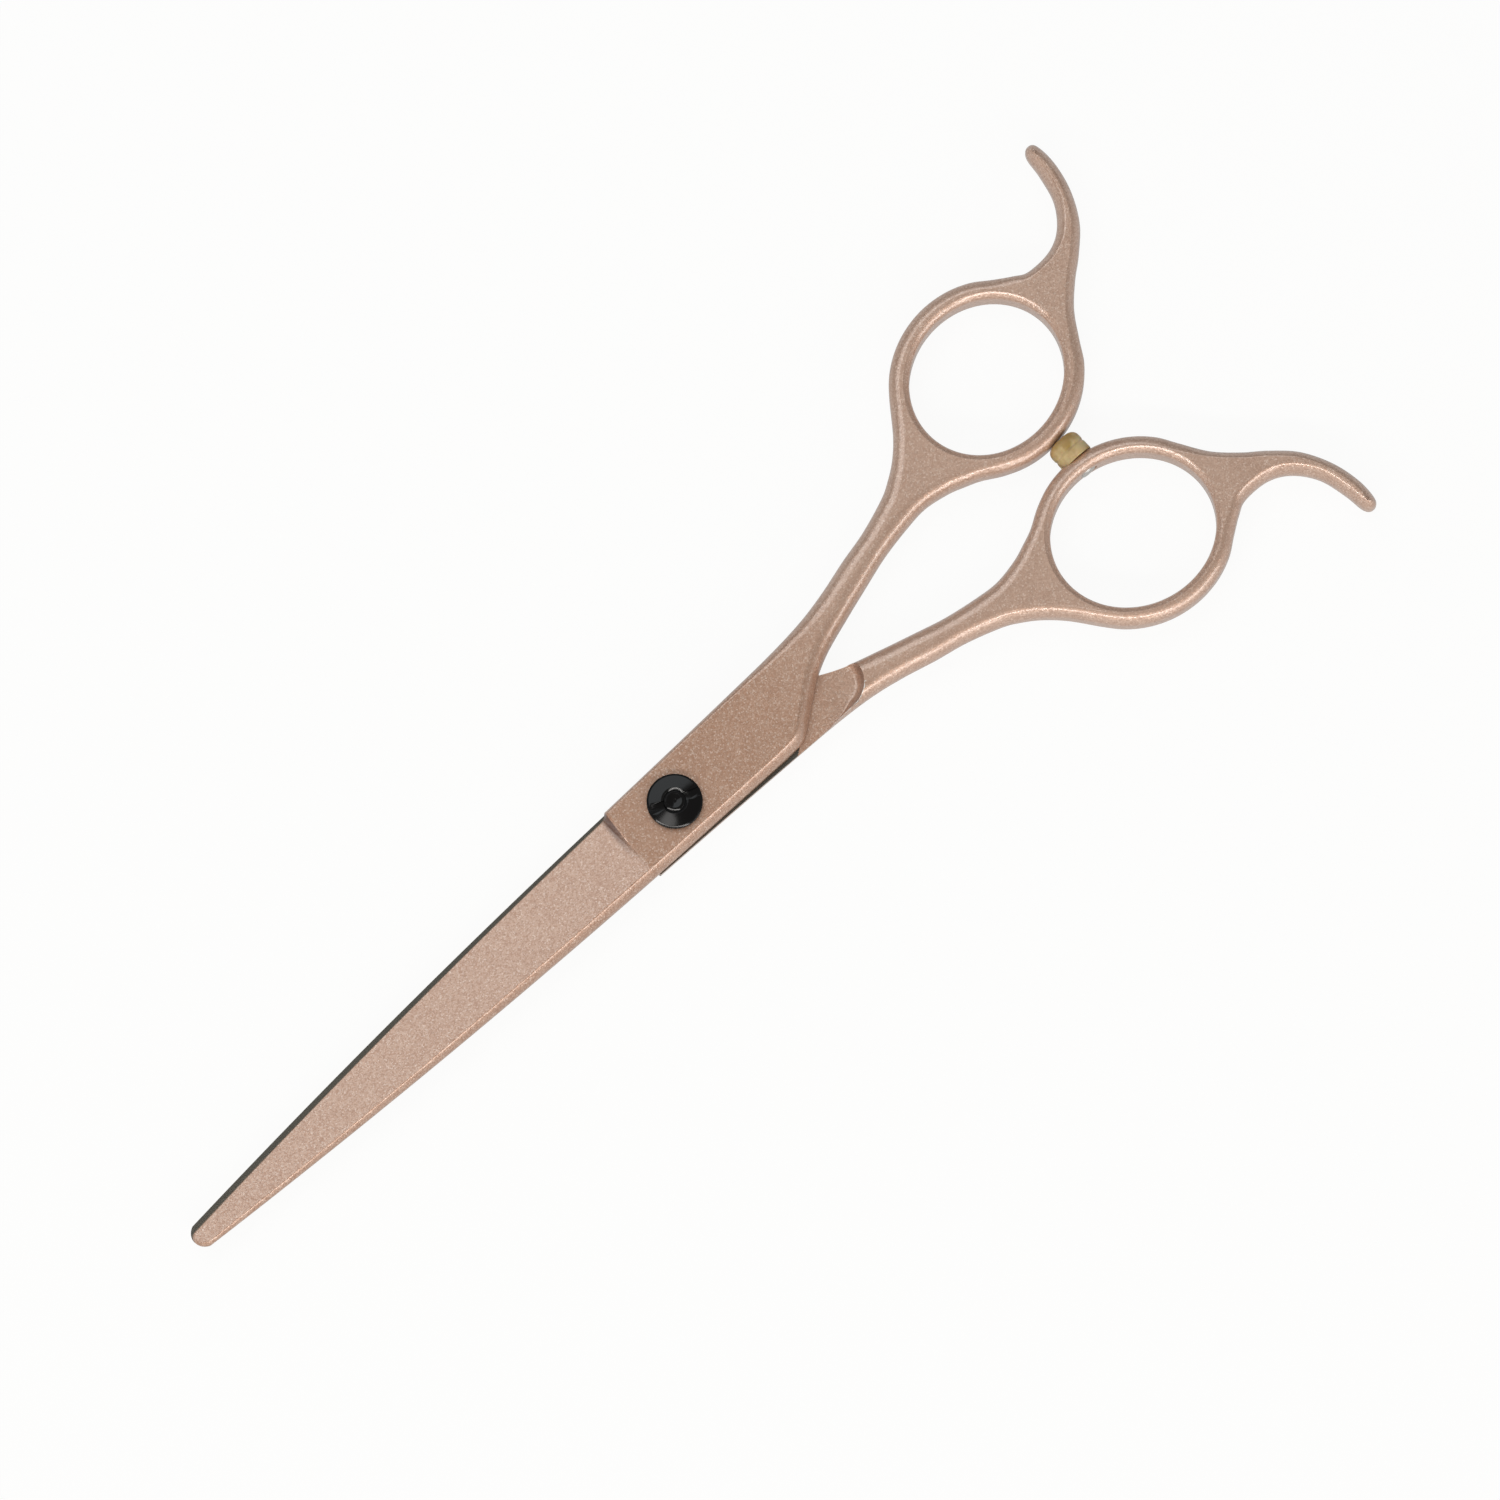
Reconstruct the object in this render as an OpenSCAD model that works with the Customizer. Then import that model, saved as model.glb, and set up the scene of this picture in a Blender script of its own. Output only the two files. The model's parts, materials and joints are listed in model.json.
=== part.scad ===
// Hair cutting shears, closed: two forged halves of one shape, the back one turned over and
// with a wider finger hole, held by an adjustable pivot, with a rubber bumper between the rings.
// Lengths are in millimetres. X runs from the pivot towards the rings, the tips are at -X,
// Y runs towards the front half's ring, and Z is up from the face that the shears lie on.

/* [Blade] */
// Pivot centre to the blade's tip
blade_l = 90.6; // [86:0.1:97]
// Pivot centre to the heel, where the ground face ends
heel_l = 7.9; // [6.5:0.1:9.5]
// Length of the concave run-out between the ground face and the ride
plunge_l = 1.2; // [0.8:0.1:1.8]
// Spine to the centre line at the heel
spine_heel = 5.65; // [5.3:0.05:6]
// Spine to the centre line half way along the blade
spine_mid = 4.35; // [4:0.05:4.7]
// Spine to the centre line near the tip
spine_tip = 1.75; // [1.5:0.05:2.2]
// Cutting edge to the centre line at the heel
edge_heel = 5.25; // [4.9:0.05:5.5]
// Cutting edge to the centre line half way along the blade
edge_mid = 3.75; // [3.5:0.05:4]
// Cutting edge to the centre line near the tip
edge_tip = 1; // [0.8:0.05:1.3]
// Thickness under the ground face at the two ends of the cutting edge
edge_t = 0.35; // [0.3:0.01:0.5]
// Width of the bevel along the spine at the heel
bevel_heel = 1.1; // [0.8:0.05:1.4]
// Width of the bevel along the spine at the tip
bevel_tip = 0.42; // [0.3:0.02:0.6]
// Depth of the hollow ground into the inner face
hollow_d = 0.12; // [0.06:0.01:0.2]

/* [Handle] */
// Thickness of the handle, twice that of the blade's ride
stock_t = 5.1; // [5.06:0.02:5.6]
// Pivot centre to the finger ring's centre, along the shears
ring_x = 73; // [69:0.5:77]
// Centre line to the finger ring's centre
ring_y = 14.9; // [14.75:0.05:15.8]
// Long axis of the front half's oval finger hole
hole_l = 23; // [22:0.1:24]
// Short axis of the front half's oval finger hole
hole_w = 20.7; // [20:0.1:21.2]
// How much longer and wider the back half's finger hole is
back_hole = 0.65; // [0:0.05:0.7]
// Width of the metal round the front half's finger hole
ring_wall = 2.85; // [2.8:0.05:3.1]
// Angle of the oval's long axis to the shears' length
ring_tilt = 11.6; // [8:0.2:15]
// Half the shank's width and thickness that its rounded edges take up
shank_edge = 2.15; // [1.8:0.05:2.25]
// Width of the rounded edge round the outside of the ring
ring_edge = 1.5; // [1.2:0.05:1.55]
// Width of the rounded edge of the finger hole
hole_edge = 0.85; // [0.7:0.05:0.85]
// Width of the rounded edges of the finger rest
rest_edge = 1.25; // [0.9:0.05:1.3]
// Reach of the finger rest past the ring, as a share of the modelled reach
rest_reach = 1; // [0.8:0.02:1.15]

/* [Ride] */
// Pivot centre to the rear corner of the ride
ride_l = 18.4; // [17:0.1:19.5]
// Centre line to the ride's open side at the heel
ride_w = 5.8; // [5.55:0.05:6]
// Pivot centre to the centre of the cutter that ends the pocket
pocket_x = 27.9; // [27:0.1:28.4]
// Centre line to the centre of the cutter that ends the pocket
pocket_y = 2.55; // [2.35:0.05:2.75]
// Radius of that cutter
pocket_r = 4.1; // [3.9:0.05:4.3]
// Corner radius of that cutter
pocket_fillet = 1.5; // [0.8:0.1:2.2]

/* [Pivot] */
// Diameter of the stud's plain shank
stud_d = 4; // [3.6:0.1:4.2]
// Diameter of the stud's thread
thread_d = 3; // [2.6:0.1:3.2]
// Diameter of the stud's head
head_d = 7; // [6.6:0.1:7.6]
// Width across the two flats of the stud's head
head_flats = 5.8; // [5.2:0.1:6.4]
// Thickness of the stud's head
head_t = 1; // [0.8:0.05:1.2]
// Outer diameter of the bush
bush_d = 5.2; // [5:0.05:5.4]
// Diameter of the bush's flange
flange_d = 6.4; // [6.2:0.05:6.6]
// Thickness of the bush's flange
flange_t = 0.35; // [0.3:0.01:0.45]
// Length of the bush under its flange
bush_l = 1.45; // [1.3:0.01:1.55]
// Thickness of the friction washer
washer_t = 0.4; // [0.3:0.01:0.45]
// Thickness of the spring washer's metal
spring_t = 0.25; // [0.2:0.01:0.3]
// Height of the spring washer's cone
spring_h = 0.2; // [0.15:0.01:0.25]
// Diameter of the tension nut
nut_d = 7.8; // [7.4:0.1:8.4]
// Height of the tension nut's straight rim
nut_rim = 0.75; // [0.6:0.05:0.9]
// Radius round the top of the tension nut's rim
nut_edge = 0.3; // [0.1:0.05:0.3]
// Rise of the tension nut's face from its rim to its middle
nut_rise = 0.3; // [0.2:0.05:0.4]
// Width of the slot across the tension nut
slot_w = 1.2; // [0.8:0.05:1.3]
// Depth of the slot across the tension nut
slot_d = 0.55; // [0.4:0.05:0.65]
// Angle of the slot to the shears' length
slot_turn = -20; // [-80:5:80]

/* [Bumper] */
// Finger ring's centre to the bumper's axis, along the shears
bumper_out = 1.45; // [-0.5:0.05:1.8]
// Diameter of the bumper
bumper_d = 5; // [4.4:0.1:5.04]
// Radius of the bumper's rounded end
bumper_round = 1.1; // [0.8:0.1:1.4]
// Depth of the groove round the bumper
groove_d = 0.25; // [0.15:0.05:0.35]
// Depth of the flat seat under the bumper
bumper_seat = 0.4; // [0.3:0.05:0.6]
// Diameter of the bumper's stud
pin_d = 2.6; // [2.2:0.1:2.8]
// Reach of the bumper's stud into the finger hole
pin_out = 0.15; // [0:0.05:0.6]

/* [Fits] */
// Gap between the two halves' inner faces
ride_gap = 0.04; // [0.02:0.01:0.08]
// Clearance all round a piece that turns or slides in its seat
run_gap = 0.02; // [0.01:0.01:0.04]
// Clearance all round a piece that is seated and stays put
seat_gap = 0.02; // [0.01:0.01:0.04]
// Gap between the bumper's end and the front half's ring
touch_gap = 0.1; // [0.05:0.05:0.3]

/* [Hidden] */
$fn = 64;

// Outer faces are this far from the plane where the halves meet
half_t = stock_t / 2;
// The ground face starts here on the spine and ends here at the cutting edge
grind_x = -heel_l - plunge_l;
// Semi-axes of the ring's outside
ring_a = hole_l / 2 + ring_wall;
ring_b = hole_w / 2 + ring_wall;
// Steps round each rounded edge, along each curve span, along the blade and round the hole
edge_n = 4;
span_n = 3;
blade_n = 14;
tip_n = 6;
hole_n = 56;
// Fall of the ground face for each millimetre from the spine to the cutting edge
grind_fall = (half_t - edge_t) / (edge_heel + spine_heel - bevel_heel);
// Heights in the pivot, from the plane where the halves meet
bush_top = ride_gap / 2 + bush_l;
flange_top = bush_top + flange_t;
washer_top = flange_top + washer_t;
spring_top = washer_top + spring_t + spring_h;
rim_top = spring_top + nut_rim;
nut_top = rim_top + nut_rise;
seat_d = flange_d + 2 * seat_gap;
// Centre line to the near side of the ring, of the back half's finger hole and of the bumper's base
ring_low = ring_y - norm([ring_a * sin(ring_tilt), ring_b * cos(ring_tilt)]);
hole_low = ring_y
  - norm([(hole_l + back_hole) * sin(ring_tilt), (hole_w + back_hole) * cos(ring_tilt)]) / 2;
bumper_x = ring_x + bumper_out;
bumper_base = ring_low + bumper_seat;
bumper_h = 2 * ring_low + bumper_seat - touch_gap;

// Curve through a at 0, m at a half and b at 1
function bow(a, m, b, s) = a * (1 - s) * (1 - 2 * s) + 4 * m * s * (1 - s) + b * s * (2 * s - 1);
// Share of the blade's ground length at x, 0 at the heel and 1 at the tip
function along(x) = (grind_x - x) / (blade_l + grind_x);
function spine_y(x) = bow(spine_heel, spine_mid, spine_tip, along(x));
function edge_y(x) = bow(edge_heel, edge_mid, edge_tip, along(x));
// Height of the flat ground face over a point
function ground(x, y) = edge_t + grind_fall * (edge_heel + (edge_tip - edge_heel) * along(x) - y);
// A point given in shares of the ring's semi-axes
function ring_point(u, v) = [
  ring_x + u * ring_a * cos(ring_tilt) - v * ring_b * sin(ring_tilt),
  ring_y + u * ring_a * sin(ring_tilt) + v * ring_b * cos(ring_tilt)];
// A smooth curve through the points p, n steps to each span
function curve(p, n) = [for (i = [0 : len(p) - 2], j = [0 : n - 1])
  let (t = j / n, a = p[max(i - 1, 0)], b = p[i], c = p[i + 1], d = p[min(i + 2, len(p) - 1)])
  b + (t * (c - a) + t * t * (2 * a - 5 * b + 4 * c - d) + t * t * t * (3 * b - a - 3 * c + d)) / 2];

// Each outline point is [x, y, edge width, edge depth, edge shape (1 round, 2 flat bevel),
// top (1 the ride's plane, 0 the ground face)], and the outline runs counter-clockwise.
function spine_row(x) = let (s = along(x), w = bevel_heel + (bevel_tip - bevel_heel) * s)
  [x, -spine_y(x), w, 0.7 * ground(x, w - spine_y(x)), 1.45, 0];
function edge_row(x) = [x, edge_y(x), 0.2, 0.4, 2, 0];
function ring_row(u, v, w) = concat(ring_point(u, v), [w, 1.125 * w, 1, 1]);
function rest_row(u, v) = concat(ring_point(1 + (u - 1) * rest_reach, v * rest_reach),
  [rest_edge, 0.88 * half_t, 1, 1]);
function arc_rows(a, b, n) = [for (i = [0 : n]) let (t = a + (b - a) * i / n)
  ring_row(cos(t), sin(t), ring_edge)];

spine_rows = [for (i = [0 : blade_n]) spine_row(grind_x + (1.3 - blade_l - grind_x) * (1 - i / blade_n))];
// Ride's spine side, the rear edge up to the fork and the shank's inner edge, to the ring
inner_rows = concat([
  [-2, -spine_heel - 0.06, bevel_heel, 0.7 * half_t, 1.45, 1],
  [ride_l - 7, -spine_heel - 0.1, bevel_heel, 0.7 * half_t, 1.45, 1],
  [ride_l - 1.6, -spine_heel - 0.1, 1.15 * bevel_heel, 0.75 * half_t, 1.4, 1],
  [ride_l + 1, -spine_heel + 0.25, 1.3 * bevel_heel, 0.8 * half_t, 1.35, 1],
  [ride_l + 3.4, -3.85, 1.6, 0.85 * half_t, 1.25, 1],
  [ride_l + 6.3, -1.75, 1.8, 0.9 * half_t, 1.15, 1],
  [ride_l + 9, 0.08, 2, 0.95 * half_t, 1, 1],
  [ride_l + 12.6, 1.72, shank_edge, 0.95 * half_t, 1, 1],
  [ride_l + 17.2, 3.18, shank_edge, 0.95 * half_t, 1, 1],
  [ride_l + 22.2, 4.65, shank_edge, 0.95 * half_t, 1, 1]],
  [ring_row(-2, -0.24, shank_edge), ring_row(-1.65, -0.25, shank_edge),
   ring_row(-1.39, -0.28, 2), ring_row(-1.14, -0.38, 1.8)]);
lower_rows = concat([ring_row(-0.98, -0.48, 1.7), ring_row(-0.84, -0.58, 1.6)], arc_rows(-132, -34, 7));
rest_rows = [rest_row(1.05, -0.32), rest_row(1.3, -0.14), rest_row(1.53, -0.01),
  rest_row(1.79, 0.18), rest_row(2, 0.46), rest_row(2.13, 0.77), rest_row(2.165, 1.03),
  rest_row(2.095, 1.1), rest_row(2.015, 1.04), rest_row(1.94, 0.81), rest_row(1.81, 0.53),
  rest_row(1.6, 0.33), rest_row(1.37, 0.26), rest_row(1.1, 0.31)];
upper_rows = concat([ring_row(0.97, 0.41, ring_edge)], arc_rows(35, 135, 8));
outer_rows = concat([ring_row(-0.98, 0.45, 1.7), ring_row(-1.19, 0.3, 1.8),
   ring_row(-1.38, 0.21, 2), ring_row(-1.57, 0.15, shank_edge), ring_row(-1.94, 0.1, shank_edge)],
  [[ride_l + 22.2, 9.5, shank_edge, 0.95 * half_t, 1, 1],
   [ride_l + 17.2, 8.2, shank_edge, 0.95 * half_t, 1, 1],
   [ride_l + 12.2, 7.25, 2, 0.95 * half_t, 1, 1],
   [ride_l + 6, ride_w + 0.88, 1.5, 0.92 * half_t, 1, 1],
   [ride_l - 2, ride_w + 0.58, 1, 0.9 * half_t, 1, 1],
   [5, ride_w + 0.27, 0.75, 0.9 * half_t, 1, 1],
   [-heel_l, ride_w, 0.7, 0.9 * half_t, 1, 1]]);
// The run-out falls steeply from the heel and flattens into the ground face
heel_row = outer_rows[len(outer_rows) - 1];
plunge_rows = [for (i = [1 : 5])
  let (u = pow(i / 5, 1.5), f = pow(1 - u, 2.6), r = heel_row * f + edge_row(grind_x) * (1 - f))
  [-heel_l - plunge_l * u, r[1], r[2], r[3], r[4], r[5]]];
edge_rows = [for (i = [1 : blade_n]) edge_row(grind_x + (0.8 - blade_l - grind_x) * i / blade_n)];
// The rounded tip, from the cutting edge's end to the spine's end
tip_pulls = [edge_row(0.8 - blade_l), [-blade_l - 0.35, edge_tip - 0.3, 0.25, 0.4, 2, 0],
  [-blade_l - 0.35, 0.6 - spine_tip, 0.4, 0.5, 1.45, 0], spine_row(1.3 - blade_l)];
tip_rows = [for (i = [1 : tip_n - 1]) let (t = i / tip_n, u = 1 - t)
  u * u * (u * tip_pulls[0] + 3 * t * tip_pulls[1]) + t * t * (3 * u * tip_pulls[2] + t * tip_pulls[3])];

// The whole outline: the handle is one smooth curve from the spine's end round to the heel
start_row = spine_rows[blade_n] + [0, 0, 0, 0, 0, 1];
handle_rows = curve(concat([start_row], inner_rows, lower_rows, rest_rows, upper_rows, outer_rows), span_n);
rows = concat(spine_rows, [for (i = [1 : len(handle_rows) - 1]) handle_rows[i]],
  [heel_row], plunge_rows, edge_rows, tip_rows);

// Places in the outline where its parts meet
n_rows = len(rows);
i_grind = blade_n;
i_fork = i_grind + span_n * len(inner_rows);
i_rest = i_fork + span_n * (len(lower_rows) + 1);
i_end = i_rest + span_n * 7;
i_back = i_rest + span_n * (len(rest_rows) - 1);
i_shank = i_back + span_n * (len(upper_rows) + 2);
i_heel = i_back + span_n * (len(upper_rows) + len(outer_rows));
i_edge = i_heel + len(plunge_rows);

// Run of whole numbers from a to b, up or down
function run(a, b) = [for (i = [a : (b >= a ? 1 : -1) : b]) i];
// Triangles between two runs of points that face each other
function zip(p, a, b, i = 0, j = 0, out = []) =
  i == len(a) - 1 && j == len(b) - 1 ? out :
  j == len(b) - 1 || (i < len(a) - 1 && norm(p[a[i + 1]] - p[b[j]]) <= norm(p[a[i]] - p[b[j + 1]]))
    ? zip(p, a, b, i + 1, j, concat(out, [[a[i], b[j], a[i + 1]]]))
    : zip(p, a, b, i, j + 1, concat(out, [[a[i], b[j], b[j + 1]]]));
// Outward direction of the outline at point i
function outward(i) = let (d = rows[(i + 1) % n_rows] - rows[(i + n_rows - 1) % n_rows])
  [d[1], -d[0]] / norm([d[0], d[1]]);
function edge_in(r, k) = r[2] * (1 - pow(sin(90 * k / edge_n), r[4]));
function edge_down(r, k) = r[3] * (1 - pow(cos(90 * k / edge_n), r[4]));
function top_z(r, p) = r[5] * half_t + (1 - r[5]) * min(half_t, ground(p[0], p[1]));
function hole_turn(j) = 180 + 360 * j / hole_n;

// The forged blank of one half, whose meeting plane is z = 0: an outline of full thickness
// with rounded and bevelled edges, and its finger hole, made wider by extra
module blank(extra) {
  ways = [for (i = [0 : n_rows - 1]) outward(i)];
  rims = [for (i = [0 : n_rows - 1]) [rows[i][0], rows[i][1]] - ways[i] * rows[i][2]];
  upper = [for (k = [0 : edge_n], i = [0 : n_rows - 1]) let (r = rows[i],
      p = [r[0], r[1]] - ways[i] * edge_in(r, k))
    [p[0], p[1], top_z(r, rims[i]) - edge_down(r, k)]];
  lower = [for (k = [edge_n : -1 : 0], i = [0 : n_rows - 1]) let (r = rows[i],
      p = [r[0], r[1]] - ways[i] * edge_in(r, k))
    [p[0], p[1], edge_down(r, k) - half_t]];
  hole = [for (s = [1, -1], m = [0 : edge_n], j = [0 : hole_n - 1])
    let (k = s > 0 ? m : edge_n - m, r = [0, 0, hole_edge, 1.6 * hole_edge, 1, 1],
      grow = extra / 2 + edge_in(r, k),
      p = ring_point((hole_l / 2 + grow) / ring_a * cos(hole_turn(j)),
        (hole_w / 2 + grow) / ring_b * sin(hole_turn(j))))
    [p[0], p[1], s * (half_t - edge_down(r, k))]];
  points = concat(upper, lower, hole);
  layers = 2 * edge_n + 2;
  h0 = layers * n_rows;
  sides = [for (k = [0 : layers - 2], i = [0 : n_rows - 1])
    let (a = k * n_rows + i, b = k * n_rows + (i + 1) % n_rows)
    each [[a, b, b + n_rows], [a, b + n_rows, a + n_rows]]];
  walls = [for (k = [0 : layers - 2], j = [0 : hole_n - 1])
    let (a = h0 + k * hole_n + j, b = h0 + k * hole_n + (j + 1) % hole_n)
    each [[a, b + hole_n, b], [a, a + hole_n, b + hole_n]]];
  // Finger hole's points that face the shank and the finger rest
  to_shank = h0;
  to_rest = h0 + hole_n / 2;
  ring_top = concat(
    zip(points, run(i_fork, i_rest), run(to_shank, to_rest)),
    zip(points, run(i_back, i_shank), concat(run(to_rest, h0 + hole_n - 1), [to_shank])),
    [[i_fork, i_shank, to_shank], [i_rest, to_rest, i_back]],
    zip(points, run(i_rest, i_end), run(i_back, i_end + 1)));
  top = concat(ring_top,
    zip(points, run(0, i_grind), run(n_rows - 1, i_edge)),
    [for (i = [i_heel : i_edge - 1]) [i_grind, i + 1, i]],
    zip(points, run(i_grind, i_fork), run(i_heel, i_shank)));
  under = [for (f = concat(ring_top, zip(points, run(0, i_fork), run(n_rows - 1, i_shank))))
    [for (q = [f[0], f[2], f[1]]) q < h0 ? q + (layers - 1) * n_rows : q + (layers - 1) * hole_n]];
  polyhedron(points = points, faces = concat(sides, walls, top, under), convexity = 8);
}

// Solid through n + 1 loops of w points, given one after another towards -X
module swept(points, n, w) {
  sides = [for (i = [0 : n - 1], j = [0 : w - 1])
    let (a = i * w + j, b = i * w + (j + 1) % w)
    each [[a, b + w, b], [a, a + w, b + w]]];
  ends = [for (j = [1 : w - 2]) each [[0, j, j + 1], [n * w, n * w + j + 1, n * w + j]]];
  polyhedron(points = points, faces = concat(sides, ends), convexity = 4);
}

// Hollow ground along the inner face, shallow towards the tip and the heel
module hollow() {
  n = 12;
  m = 6;
  points = [for (i = [0 : n], j = [0 : m + 2]) let (s = i / n,
      x = grind_x - 1 - (blade_l + grind_x - 3.5) * s, low = 0.9 - spine_y(x), high = edge_y(x) - 0.7,
      v = 2 * (j - 1) / m - 1, d = hollow_d * (1 - pow(2 * s - 1, 4)),
      c = min(max(v, -1), 1))
    [x, (low + high) / 2 + c * (high - low) / 2,
      j == 0 || j == m + 2 ? -0.5 : ride_gap / 2 - 0.01 + (d + 0.01) * (1 - c * c)]];
  swept(points, n, m + 3);
}

// What is machined off under the ride: flat up to the ride's rear corner, then a pocket whose
// outer corner grows round, ended by a cutter with a rounded corner
module pocket() {
  top = ride_gap / 2;
  low = -half_t - 2;
  flat_x = ride_l + 0.6;
  // The pocket's side stands a little inside the reach of the cutter that ends it
  side_y = pocket_y + pocket_r - 0.03;
  n = 6;
  m = 4;
  translate([-blade_l - 10, -20, low]) cube([blade_l + 10 + flat_x, 40, top - low]);
  swept([for (i = [0 : n]) let (s = 1 - i / n, x = flat_x - 0.1 + (pocket_x - flat_x + 0.1) * s,
      f = 0.15 + (pocket_fillet - 0.15) * pow(s, 3))
    each concat([[x, -20, low], [x, -20, top]],
      [for (k = [0 : m]) [x, side_y - f * (1 - sin(90 * k / m)), top - f * (1 - cos(90 * k / m))]],
      [[x, side_y, low]])], n, m + 4);
  translate([pocket_x, pocket_y, top])
    rotate([180, 0, 0])
      rotate_extrude()
        union() {
          square([pocket_r - pocket_fillet, half_t + 2]);
          translate([0, pocket_fillet]) square([pocket_r, half_t + 2 - pocket_fillet]);
          translate([pocket_r - pocket_fillet, pocket_fillet]) circle(pocket_fillet);
        }
}

// One half with its blade ground and its ride machined, before its pivot hole, and with its
// finger hole made wider by extra
module forged_half(extra) {
  difference() {
    blank(extra);
    pocket();
    hollow();
  }
}

// Places a piece modelled about the meeting plane at its height above the rest face
module at_height() {
  translate([0, 0, half_t]) children();
}

module front_half() {
  color([0.72, 0.56, 0.48]) at_height()
    difference() {
      forged_half(0);
      translate([0, 0, -1]) cylinder(d = bush_d + 2 * seat_gap, h = half_t + 2);
      translate([0, 0, bush_top]) cylinder(d = seat_d, h = half_t);
    }
}

// Stud head's outline: round with two flats
module head_plan(extra) {
  intersection() {
    circle(d = head_d + 2 * extra);
    square([head_d + 1, head_flats + 2 * extra], center = true);
  }
}

module back_half() {
  color([0.7, 0.54, 0.46]) at_height()
    difference() {
      rotate([180, 0, 0]) forged_half(back_hole);
      translate([0, 0, -half_t - 1]) cylinder(d = stud_d + 2 * seat_gap, h = half_t + 2);
      translate([0, 0, -half_t - 1]) linear_extrude(1 + head_t) head_plan(seat_gap);
      translate([bumper_x, 0, 0]) rotate([90, 0, 0]) cylinder(d = pin_d + 2 * seat_gap, h = ring_y);
      translate([bumper_x, 0, 0]) rotate([90, 0, 0]) cylinder(d = bumper_d + 0.4, h = bumper_base);
    }
}

module pivot_stud() {
  color([0.16, 0.16, 0.17]) at_height()
    difference() {
      union() {
        translate([0, 0, -half_t]) linear_extrude(head_t) head_plan(0);
        translate([0, 0, head_t - half_t - 0.1]) cylinder(d = stud_d, h = half_t - head_t + 0.1 + bush_top);
        translate([0, 0, bush_top - 0.1]) cylinder(d = thread_d, h = nut_top - bush_top - 0.11);
        translate([0, 0, nut_top - 0.21]) cylinder(d1 = thread_d, d2 = thread_d - 0.5, h = 0.16);
      }
      translate([0, 0, nut_top - 0.35]) cylinder(d1 = 0.4, d2 = 1.6, h = 0.4);
    }
}

module pivot_bush() {
  color([0.78, 0.66, 0.42]) at_height()
    difference() {
      union() {
        translate([0, 0, ride_gap / 2]) cylinder(d = bush_d, h = bush_l + 0.1);
        translate([0, 0, bush_top]) cylinder(d = flange_d, h = flange_t);
      }
      cylinder(d = stud_d + 2 * run_gap, h = half_t + 2);
    }
}

module friction_washer() {
  color([0.92, 0.92, 0.9]) at_height()
    translate([0, 0, flange_top])
      difference() {
        cylinder(d = flange_d, h = washer_t);
        translate([0, 0, -1]) cylinder(d = stud_d + 2 * run_gap, h = washer_t + 2);
      }
}

module spring_washer() {
  outer = flange_d / 2 - 0.15;
  inner = thread_d / 2 + run_gap;
  color([0.75, 0.76, 0.78]) at_height()
    translate([0, 0, washer_top])
      rotate_extrude()
        polygon([[inner, spring_h], [outer, 0], [outer, spring_t], [inner, spring_h + spring_t]]);
}

module tension_nut() {
  r = nut_d / 2;
  hole = thread_d / 2 + run_gap;
  hub = hole + 0.35;
  color([0.05, 0.05, 0.06]) at_height()
    difference() {
      rotate_extrude()
        polygon(concat([[hole, spring_top], [r - 0.25, spring_top], [r, spring_top + 0.25]],
          [for (t = [0 : 18 : 90]) [r, rim_top] - nut_edge * [1 - cos(t), 1 - sin(t)]],
          [[hub, nut_top], [hole, nut_top - 0.22]]));
      rotate([0, 0, slot_turn])
        translate([-r - 1, -slot_w / 2, nut_top - slot_d])
          cube([nut_d + 2, slot_w, slot_d + 1]);
    }
}

// Places a piece modelled along +Z on the bumper's axis, at y, pointing at the front half's ring
module on_bumper_axis(y) {
  translate([bumper_x, y, half_t]) rotate([-90, 0, 0]) children();
}

module bumper() {
  r = bumper_d / 2;
  color([0.8, 0.62, 0.25]) on_bumper_axis(-bumper_base)
    difference() {
      rotate_extrude()
        difference() {
          union() {
            square([r, bumper_h - bumper_round]);
            square([r - bumper_round, bumper_h]);
            translate([r - bumper_round, bumper_h - bumper_round])
              intersection() {
                circle(bumper_round);
                square(bumper_round);
              }
          }
          translate([r + groove_d, 0.45 * bumper_h]) circle(2 * groove_d);
        }
      translate([0, 0, -1]) cylinder(d = pin_d + 2 * seat_gap, h = 1 + 0.55 * bumper_h);
    }
}

module bumper_stud() {
  l = pin_out + hole_low - bumper_base + 0.5 * bumper_h;
  color([0.8, 0.8, 0.82]) on_bumper_axis(-hole_low - pin_out)
    union() {
      cylinder(d1 = pin_d - 0.5, d2 = pin_d, h = 0.25);
      translate([0, 0, 0.25]) cylinder(d = pin_d, h = l - 0.25);
    }
}

front_half();
back_half();
pivot_stud();
pivot_bush();
friction_washer();
spring_washer();
tension_nut();
bumper();
bumper_stud();
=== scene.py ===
"""Hair cutting shears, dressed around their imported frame.

Two painted halves with bare ground inner faces, the black nut and stud of the pivot with the rings
inside it, and the amber bumper on its pin. Shapes are worked out in millimetres and end in metres,
in the frame's own axes: X runs from the pivot towards the rings, Z is up from the rest face."""

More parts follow.
